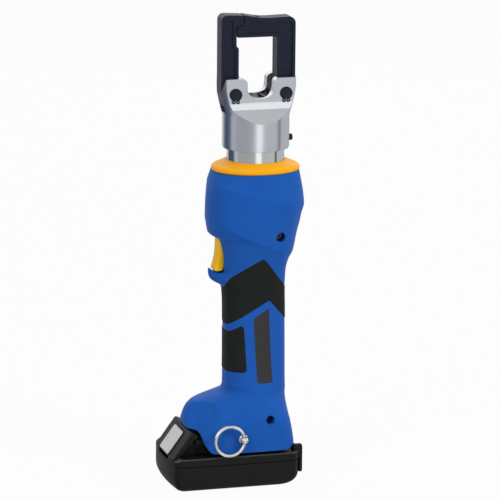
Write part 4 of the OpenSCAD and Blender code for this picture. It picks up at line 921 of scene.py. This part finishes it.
# frame arms: outlines in X and height over the pins, sunk panels on both faces
arms = {
    "half": 7.0, "bevel": 1.9, "panelEdge": 0.7, "panelDepth": 1.5, "bore": 4.28, "past": 9,
    "springPocket": (7.0, -9, -2.4), "dieCatch": (2.9, 54, 70),
    "hook": (-19.6, -11.8, 46.0, 64.5),  # the hooked ends keep sharp edges
    "top": [
        (12.7, -9.2, 9.1), (31.1, -9.2, 9.1), (31.1, 0.5, 1.5), (32.2, 5.0, 3), (32.2, 63.4, 6.0),
        (19.0, 63.0, 3), (8.2, 62.7, 3), (1.6, 63.1, 2.5), (-5.0, 64.2, 2.5), (-12.2, 65.6, 0.8),
        (-12.2, 57.0), (-18.3, 56.0, 0.8), (-18.3, 46.8, 1.0), (16.1, 46.8, 3.2), (16.1, 6.0, 3),
        (12.7, 1.0, 2),
    ],
    "topPanel": [
        (20.2, 12.5, 1), (29.6, 12.5, 1), (29.6, 58.9, 2.5), (19.0, 58.4, 2), (8.2, 58.2, 2), (2.7, 59.0, 2),
        (-6.2, 61.0, 1), (-10.3, 49.7, 1.2), (20.2, 49.8, 2.8),
    ],
    "latch": [
        (-12.7, -9.2, 9.1), (-21.9, -9.2), (-24.0, -12.9, 1), (-27.6, -13, 1), (-32.3, 0, 4),
        (-32.3, 66.15, 5.0), (-27, 66.15, 2), (-12.8, 65.4, 0.9), (-12.8, 57.75, 0.4), (-19.1, 56.75),
        (-19.1, 39.8, 0.8), (-17.1, 37.8, 0.8), (-17.1, 5.6, 2), (-12.7, 1.0, 2),
    ],
    "latchPanel": [
        (-29.7, 12.5, 1), (-19.9, 12.5, 1), (-19.9, 36.2, 0.6), (-22.2, 40.6, 1), (-22.0, 58.7, 1.5),
        (-23.1, 61.4, 0.8), (-29.7, 62.6, 2.5),
    ],
}


def outsideHook(edge):
    xa, xb, low, high = arms["hook"]
    middle = (edge.verts[0].co + edge.verts[1].co) / (2 * mm)
    onFace = all(abs(abs(v.co.y) - arms["half"] * mm) < 1e-6 for v in edge.verts)
    return onFace and not (xa < middle.x < xb and low < middle.z - pinHeight < high)


def onPanel(edge):
    low = arms["half"] - arms["panelDepth"] - 0.05
    return all(abs(v.co.y) > low * mm for v in edge.verts)


def makeArm(outline, panel, pinX):
    raised, sunk = ([(c[0], c[1] + pinHeight, *c[2:]) for c in corners] for corners in (outline, panel))
    half, depth, past = arms["half"], arms["panelDepth"], arms["past"]
    bm = prism(raised, "Y", -half, half)
    softenEdges(bm, arms["bevel"], keep=outsideHook)
    for low, high in ((-half - 1, -half + depth), (half - depth, half + 1)):
        carve(bm, prism(sunk, "Y", low, high))
    softenEdges(bm, arms["panelEdge"], 60, 2, onPanel)
    carve(bm, rod(arms["bore"], -past, past, (pinX, 0, pinHeight), (0, 1, 0)))
    return bm


def addArm(name, bm, body, node):
    for face in bm.faces:  # bevels take a lighter slate, a painted highlight along the edges
        face.material_index = 1 if 0.2 < abs(face.normal.y) < 0.97 else 0
    piece = addPiece(name, bm, "blackened_steel", body, node)
    piece.data.materials.append(bevelHighlightSteel)


# lighter slate for the arms' bevel faces: a painted highlight
bevelHighlightLook = {"colour": (50, 56, 72), "shade": (40, 46, 62), "patchScale": 160}
bevelHighlightSteel = makeFinish("bevel_highlight_steel", {**looks["blackened_steel"], **bevelHighlightLook})
bm = makeArm(arms["top"], arms["topPanel"], hingeX)
carve(bm, rod(*arms["dieCatch"], (0, 0, pinHeight), steps=32))
addArm("topArm", bm, "arm", "top_arm")
bm = makeArm(arms["latch"], arms["latchPanel"], latchX)
carve(bm, rod(*arms["springPocket"], (latchX, 0, pinHeight), (0, 1, 0)))
addArm("latchArm", bm, "latch", "latch_arm")
print("arms ready")


# pins with dished ends and circlips with two eyes
pins = {
    "radius": 4.2, "end": 17.4, "groove": 15.6, "clipRadius": 5.4, "clipThick": 0.9, "clipBore": 3.8,
    "split": 0.4, "splitSpan": (327, 336), "lugRadius": 1.6, "lugSide": 1.8, "lugDrop": 6.0, "eye": 0.68,
}
r, end, groove, thick = (pins[k] for k in ("radius", "end", "groove", "clipThick"))
profile = [
    (0, -end + 0.5), (r - 1.2, -end + 0.35), (r - 0.7, -end), (r - 0.25, -end), (r, -end + 0.25),
    (r, -groove - 1.0), (r - 0.5, -groove - 1.0), (r - 0.5, -groove), (r, -groove),
]
profile += [(a, -h) for a, h in reversed(profile)]
for name, x, node in (("hingePin", hingeX, "hinge_pin"), ("latchPin", latchX, "latch_pin")):
    addPiece(name, turned(profile, (x, 0, pinHeight), (0, 1, 0), 64), "blackened_steel", "head", node)


def disc(x, z, radius, low, extra=0.0):
    return rod(radius, low - extra, low + thick + extra, (x, 0, z), (0, 1, 0))


clips = None
for x in yoke["pins"]:
    lugs = [(x + s * pins["lugSide"], pinHeight - pins["lugDrop"]) for s in (-1, 1)]
    for low in (-groove - 0.95, groove + 0.05):
        clip = disc(x, pinHeight, pins["clipRadius"], low)
        for lug in lugs:
            carve(clip, disc(*lug, pins["lugRadius"], low), "UNION")
        carve(clip, disc(x, pinHeight, pins["clipBore"], low, 1))
        carve(clip, block(x - pins["split"], x + pins["split"], low - 1, low + thick + 1, *pins["splitSpan"]))
        for lug in lugs:
            carve(clip, disc(*lug, pins["eye"], low, 1))
        softenEdges(clip, 0.15, 40, 2)
        clips = joined(clips, clip) if clips else clip
addPiece("pinCirclips", clips, "blackened_steel", "head", "pin_circlips")

# plug of the swivel, with a hexagon socket
plug = {
    "profile": [
        (0, 26.5), (2.0, 26.5), (2.0, 28.9), (2.5, 28.95), (2.8, 29.3), (2.8, 31.3), (2.45, 31.9),
        (1.9, 32.0), (0, 32.0),
    ],
    "height": 296.0, "end": 32.0, "socket": 1.3, "socketDepth": 3,
}
bm = turned(plug["profile"], (0, 0, plug["height"]), (1, 0, 0), 48)
socket = bmesh.new()
flat = plug["socket"] * mm
bmesh.ops.create_cone(
    socket, cap_ends=True, segments=6, radius1=flat, radius2=flat, depth=plug["socketDepth"] * mm,
)
bmesh.ops.rotate(socket, cent=(0, 0, 0), matrix=Matrix.Rotation(math.pi / 2, 3, "Y"), verts=socket.verts)
bmesh.ops.translate(socket, vec=(plug["end"] * mm, 0, plug["height"] * mm), verts=socket.verts)
carve(bm, socket)
addPiece("swivelPlug", bm, "blackened_steel", "head", "swivel_plug")
print("pins, clips and plug ready")


# trigger: finger face with a crown, rounded sides
trigger = {
    "half": 7.4, "edge": 1.1, "crown": 0.35, "face": -32.4, "around": 120, "soften": 6,
    "outline": [
        (-33.4, 213.0), (-33.6, 204.0), (-34.1, 197.5), (-35.5, 190.5), (-37.1, 186.0), (-36.9, 184.6),
        (-35.2, 184.1), (-32.6, 183.8), (-29.8, 184.2), (-28.3, 188.5), (-27.6, 195.0), (-27.5, 203.0),
        (-24.7, 207.0), (-24.7, 211.6), (-29.0, 213.2),
    ],
    # from one side to the middle: share of the half width, share of the edge's inset
    "slices": [
        (-1.0, 1.0), (-0.97, 0.62), (-0.9, 0.28), (-0.8, 0.06), (-0.65, 0), (-0.4, 0), (-0.2, 0), (0, 0),
    ],
}


def softened(points, rounds):  # rounds an outline by averaging neighbours
    for _ in range(rounds):
        points = [
            tuple((points[i - 1][k] + 2 * points[i][k] + points[(i + 1) % len(points)][k]) / 4 for k in (0, 1))
            for i in range(len(points))
        ]
    return points


count = trigger["around"]
outline = trigger["outline"] + trigger["outline"][:1]
profile = softened(pointsAlong(outline, [k / count for k in range(count)]), trigger["soften"])
area = sum(a[0] * b[1] - b[0] * a[1] for a, b in zip(profile, profile[1:] + profile[:1]))
inward = trigger["edge"] if area > 0 else -trigger["edge"]
loops = []
for share, inset in trigger["slices"] + [(-a, b) for a, b in reversed(trigger["slices"][:-1])]:
    loop = []
    for i, (x, z) in enumerate(profile):
        (xa, za), (xb, zb) = profile[i - 1], profile[(i + 1) % count]
        out = Vector((zb - za, xa - xb)).normalized()
        x, z = x - out.x * inset * inward, z - out.y * inset * inward
        if x < trigger["face"]:
            x -= trigger["crown"] * (1 - share * share)
        loop.append((x, share * trigger["half"], z))
    loops.append(loop)
bm = loft(loops)
closeEnds(bm)
# a lighter copy of the yellow plastic for the trigger: painted light that lifts the shade under the housing's
# overhang
litYellowLook = {"colour": (253, 192, 16), "shade": (254, 199, 26)}
litYellow = makeFinish("trigger_yellow_lit", {**looks["yellow_plastic"], **litYellowLook})
addPiece("trigger", bm, "yellow_plastic", "trigger_lever", "trigger", 45, False, litYellow)
print("trigger ready")


# battery case: tray, lid with deck and rails, block with the release button
battery = {
    "x": (-79.98, 32.6), "half": 37.5, "frontCorner": (4.0, 6.0), "rearCorner": (9.0, 12.0), "bow": 3.0,
    "around": 20, "past": 40,
    # rows: inset at the front, inset at the sides, height, inset at the rear where it differs
    "tray": [
        (20, 16, 0.6, 34), (9.5, 8.5, 0.6, 22.8), (8.8, 7.8, 0.0, 21), (7.0, 6.0, 0.0, 16.8),
        (5.0, 4.2, 0.4, 12), (3.6, 2.8, 1.1, 8.6), (2.5, 1.7, 2.1, 6.0), (1.6, 0.9, 3.3, 3.8),
        (1.0, 0.45, 4.7, 2.4), (0.5, 0.15, 6.3, 1.2), (0.2, 0, 8.2, 0.5), (0, 0, 10.2), (0, 0, 15),
        (0, 0, 19), (0, 0, 21.3), (0.25, 0.25, 21.65), (0.9, 0.9, 21.75), (2.2, 2.2, 21.75), (2.2, 2.2, 13),
        (4.8, 2.4, 6.5), (13.5, 6, 2.4), (20, 16, 2.4),
    ],
    "lid": [
        (2.2, 2.2, 22.05), (0.9, 0.9, 22.05), (0.25, 0.25, 22.15), (0, 0, 22.5), (0, 0, 25), (0, 0, 27.5),
        (0.12, 0.12, 28.2), (0.5, 0.5, 28.75), (1.1, 1.1, 29.0), (2.6, 2.6, 29.0), (3.0, 3.0, 28.9),
        (3.3, 3.3, 28.55), (3.8, 3.8, 28.45), (16, 16, 28.45), (16, 16, 23.6), (2.2, 2.2, 23.6),
    ],
    "deck": (-58.0, 24.0, 19.5, 42.0), "deckLow": 27.5, "flange": (24.0, 37.0),
    "contactSlots": (-9.0, 9.0), "contactHalf": 0.8, "contactBack": -30.3, "contactSpan": (37.2, 43),
    # rear bumper: its two ears on the lid and the plate behind the tray
    "bumper": (27.5, 32.65, 35.6), "bumperLow": 9.0, "bumperJoin": 23.4,
    "ears": [
        (-30.5, 22.2, 1.0), (30.5, 22.2, 1.0), (30.5, 33.4, 3.0), (23.5, 33.4, 2.0), (21.0, 28.2, 1.0),
        (-21.0, 28.2, 1.0), (-23.5, 33.4, 2.0), (-30.5, 33.4, 3.0),
    ],
    # block at the front: a core under a bowed hood with a free lower edge, and the cut before its slope
    "core": [
        (-57.4, 27.3), (-57.4, 46.0), (-59.4, 47.2), (-61.6, 47.8), (-77.8, 25.6), (-77.8, 24.9), (-70, 24.9),
    ],
    "hood": [
        (-57.2, 44.6), (-57.2, 47.0), (-59.6, 48.5), (-62.8, 49.65), (-79.7, 26.55), (-79.7, 24.4),
        (-75.6, 24.4), (-66.9, 36.4), (-60.6, 43.0),
    ],
    "coreHalf": 21.6, "hoodHalf": 28.6, "hoodBow": 1.6, "hoodSteps": 14,
    "front": [(-62.6, 49.95), (-80.3, 25.76), (-84, 25.0), (-84, 52)],
    "rimCut": [(-70.6, 29.4), (-81.0, 24.6), (-81.0, 32.0), (-70.6, 32.0)],  # the rim falls away at the front
    # heights of the rim's rounded edge that carries the painted highlight
    "rimHighlight": (27.6, 29.05),
    # on the block's slope: start, end, half width, lower and upper face, corner radius and edge
    "pocket": (2.4, 30.7, 15.0, -5.0, 6.0, 2.0, 0), "button": (2.8, 28.0, 14.6, -2.8, 0.4, 2.2, 0.5),
    "plate": (4.0, 27.0, 13.4, 0.4, 0.9, 2.0, 0.25),
    # X, Y and height of the seat
    "screws": [(-71.8, -29.3, 4.0), (-71.8, 29.3, 4.0), (25.0, -27.5, 4.6), (25.0, 27.5, 4.6)],
    "well": 2.9, "shankTop": 21.5, "recess": (1.5, 0.32, 0.7), "recessTurn": 20,
}


def planLoop(front, sides, rear):  # rounded plan with a bowed front, drawn in at its ends and sides
    xa, xb = battery["x"]
    half, n = battery["half"], battery["around"]
    middle, reach = (xa + xb) / 2, (xb - xa) / 2
    points = []
    for cx, cy, start in ((1, 1, 0), (-1, 1, 90), (-1, -1, 180), (1, -1, 270)):
        cornerX, cornerY = battery["rearCorner" if cx > 0 else "frontCorner"]
        midX, midY = cx * (reach - cornerX), cy * (half - cornerY)
        arc = [math.radians(start + 90 * i / n) for i in range(n + 1)]
        run = [(midX + cornerX * math.cos(a), midY + cornerY * math.sin(a)) for a in arc]
        if (cx, cy) == (-1, 1):
            run += [(-reach, (half - cornerY) * (1 - 2 * k / n)) for k in range(1, n)]
        for x, y in run:
            y *= (half - sides) / half
            x = middle + x * (reach - (rear if cx > 0 else front)) / reach
            points.append((x + battery["bow"] * (y / half) ** 2 if cx < 0 else x, y))
    return points


def caseSkin(rows, shut):
    loops = []
    for front, sides, z, *rear in rows:
        loops.append([(x, y, z) for x, y in planLoop(front, sides, *(rear or [front]))])
    bm = loft(loops, shut)
    closeEnds(bm)
    return bm


def bowed(outline):  # an outline in X and height swept over the hood's width, bowed like the front
    def place(u, v):
        x, z = outline[round(u * len(outline)) % len(outline)]
        y = (2 * v - 1) * battery["hoodHalf"]
        return x + battery["hoodBow"] * (y / battery["half"]) ** 2, y, z

    bm = gridSkin(len(outline), battery["hoodSteps"], place)
    bmesh.ops.remove_doubles(bm, verts=bm.verts, dist=1e-7)
    closeEnds(bm)
    bmesh.ops.recalc_face_normals(bm, faces=bm.faces)
    return bm


def caseScrew(x, y, seat):  # dished head with a cross recess
    top = battery["shankTop"]
    screw = turned([
        (0, seat - 1.6), (1.9, seat - 1.6), (2.4, seat - 1.2), (2.6, seat - 0.6), (2.6, seat - 0.02),
        (1.5, seat - 0.02), (1.5, top), (0, top),
    ], (x, y, 0), steps=32)
    reach, half, depth = battery["recess"]
    for turnBy in (0, 90):
        blade = block(-reach, reach, -half, half, seat - 3, seat - depth)
        spin = Matrix.Rotation(math.radians(turnBy + battery["recessTurn"]), 3, "Z")
        bmesh.ops.rotate(blade, cent=(0, 0, 0), matrix=spin, verts=blade.verts)
        bmesh.ops.translate(blade, vec=(x * mm, y * mm, 0), verts=blade.verts)
        carve(screw, blade)
    return screw


tray = caseSkin(battery["tray"], False)
for x, y, seat in battery["screws"]:
    carve(tray, rod(battery["well"], -1, seat, (x, y, 0), steps=32))
addPiece("batteryTray", tray, "battery_plastic", "battery", "battery_tray", 50)
caseScrews = joined(*(caseScrew(*screw) for screw in battery["screws"]))
addPiece("batteryScrews", caseScrews, "dark_steel", "battery", "battery_screws", even=False)

lid = caseSkin(battery["lid"], True)
past = battery["past"]
carve(lid, prism(battery["rimCut"], "Y", -past, past))
xa, xb, half, top = battery["deck"]
fy, fz = battery["flange"]
deck = prism([(xa, -half), (xb, -half, 2), (xb, half, 2), (xa, half)], "Z", battery["deckLow"], top)
rail = prism([(xa, -fy, 1), (xb, -fy, 3), (xb, fy, 3), (xa, fy, 1)], "Z", fz, top)
for part in (deck, rail):
    softenEdges(part, 0.6, 40, 2)
core = prism(battery["core"], "Y", -battery["coreHalf"], battery["coreHalf"])
hood = bowed(battery["hood"])
softenEdges(hood, 0.9, 24)
xa, xb, xc = battery["bumper"]
low, high, reach = battery["bumperLow"], battery["bumperJoin"], battery["ears"][1][0]
ears = prism(battery["ears"], "X", xa, xc)
plate = prism([(-reach, low, 2.5), (reach, low, 2.5), (reach, high), (-reach, high)], "X", xb, xc)
for part in (ears, plate):
    softenEdges(part, 0.8)
for part in (deck, rail, core, hood, ears, plate):
    carve(lid, part, "UNION")
carve(lid, bowed(battery["front"]))
slopeTop, slopeLow = (Vector((x, 0, z)) for x, z in battery["hood"][3:5])
slopeWay = (slopeLow - slopeTop).normalized()
slopeOut = Vector((slopeWay.z, 0, -slopeWay.x))


def onSlope(start, end, half, low, high, corner, edge):  # a rounded plate lying on the block's slope
    corners = [(start, -half, corner), (end, -half, corner), (end, half, corner), (start, half, corner)]
    bm = prism(corners, "Z", low, high, 6)
    if edge:
        softenEdges(bm, edge)
    lay = Matrix((slopeWay, Vector((0, 1, 0)), slopeOut)).transposed().to_4x4()
    bmesh.ops.transform(bm, matrix=Matrix.Translation(slopeTop * mm) @ lay, verts=bm.verts)
    bmesh.ops.recalc_face_normals(bm, faces=bm.faces)
    return bm


carve(lid, onSlope(*battery["pocket"]))
for y in battery["contactSlots"]:
    half = battery["contactHalf"]
    carve(lid, block(battery["contactBack"], past, y - half, y + half, *battery["contactSpan"]))
lid.normal_update()
rimLow, rimHigh = (z * mm for z in battery["rimHighlight"])
for face in lid.faces:  # the rim's rounded edge takes a lighter colour, a painted highlight
    onRim = rimLow < face.calc_center_median().z < rimHigh
    face.material_index = 1 if onRim and 0.3 < face.normal.z < 0.96 else 0
case = addPiece("batteryLid", lid, "battery_plastic", "battery", "battery_lid", 40)
# lighter plastic for the rim's edge: a painted highlight
rimHighlightLook = {"colour": (70, 72, 72), "shade": (54, 56, 56)}
case.data.materials.append(makeFinish("rim_highlight_plastic", {**looks["battery_plastic"], **rimHighlightLook}))
addPiece("releaseButton", onSlope(*battery["button"]), "black_plastic", "button", "release_button", 40)
addPiece("buttonPlate", onSlope(*battery["plate"]), "grey_plastic", "button", "button_plate", 40)
print("battery ready")


# lanyard: a stud with a bored ball, and a split ring through it
lanyard = {
    "stud": (-18.5, 43.5), "y": -39.6, "ball": 3.58, "eye": 2.1, "radius": 12.7, "wire": 1.5, "split": -52,
    "around": 358.6,
    "shank": [
        (0, 31.6), (2.8, 31.6), (2.8, 32.4), (1.95, 32.6), (1.95, 35.2), (3.7, 35.2), (4.0, 35.5),
        (4.0, 35.9), (3.7, 36.1),
    ],
}
sx, sz = lanyard["stud"]
sy, size = lanyard["y"], lanyard["ball"]
turns = [math.radians(a) for a in range(150, -1, -6)]
ball = [(size * math.sin(a), size * math.cos(a) - sy) for a in turns]
stud = turned(lanyard["shank"] + ball, (sx, 0, sz), (0, -1, 0), 48)
carve(stud, rod(lanyard["eye"], -6, 6, (sx, sy, sz), steps=40))
addPiece("ringStud", stud, "ring_chrome", "stud", "ring_stud", even=False)
upright = Matrix.Rotation(math.pi / 2, 3, "X")
bm = bmesh.new()
bmesh.ops.create_circle(bm, cap_ends=True, segments=20, radius=lanyard["wire"] * mm)
bmesh.ops.translate(bm, vec=(lanyard["radius"] * mm, 0, 0), verts=bm.verts)
bmesh.ops.rotate(bm, cent=(0, 0, 0), matrix=upright, verts=bm.verts)
toSplit = Matrix.Rotation(math.radians(lanyard["split"]), 3, "Z")
bmesh.ops.rotate(bm, cent=(0, 0, 0), matrix=toSplit, verts=bm.verts)
bmesh.ops.spin(
    bm, geom=bm.verts[:] + bm.edges[:] + bm.faces[:], cent=(0, 0, 0), axis=(0, 0, 1), dvec=(0, 0, 0),
    angle=math.radians(lanyard["around"]), steps=120, use_merge=False, use_normal_flip=False,
    use_duplicate=False,
)
bmesh.ops.rotate(bm, cent=(0, 0, 0), matrix=upright, verts=bm.verts)
bmesh.ops.translate(bm, vec=((sx - lanyard["radius"]) * mm, sy * mm, sz * mm), verts=bm.verts)
addPiece("lanyardRing", bm, "ring_chrome", "ring", "lanyard_ring", 60, False)
print("lanyard ring ready")
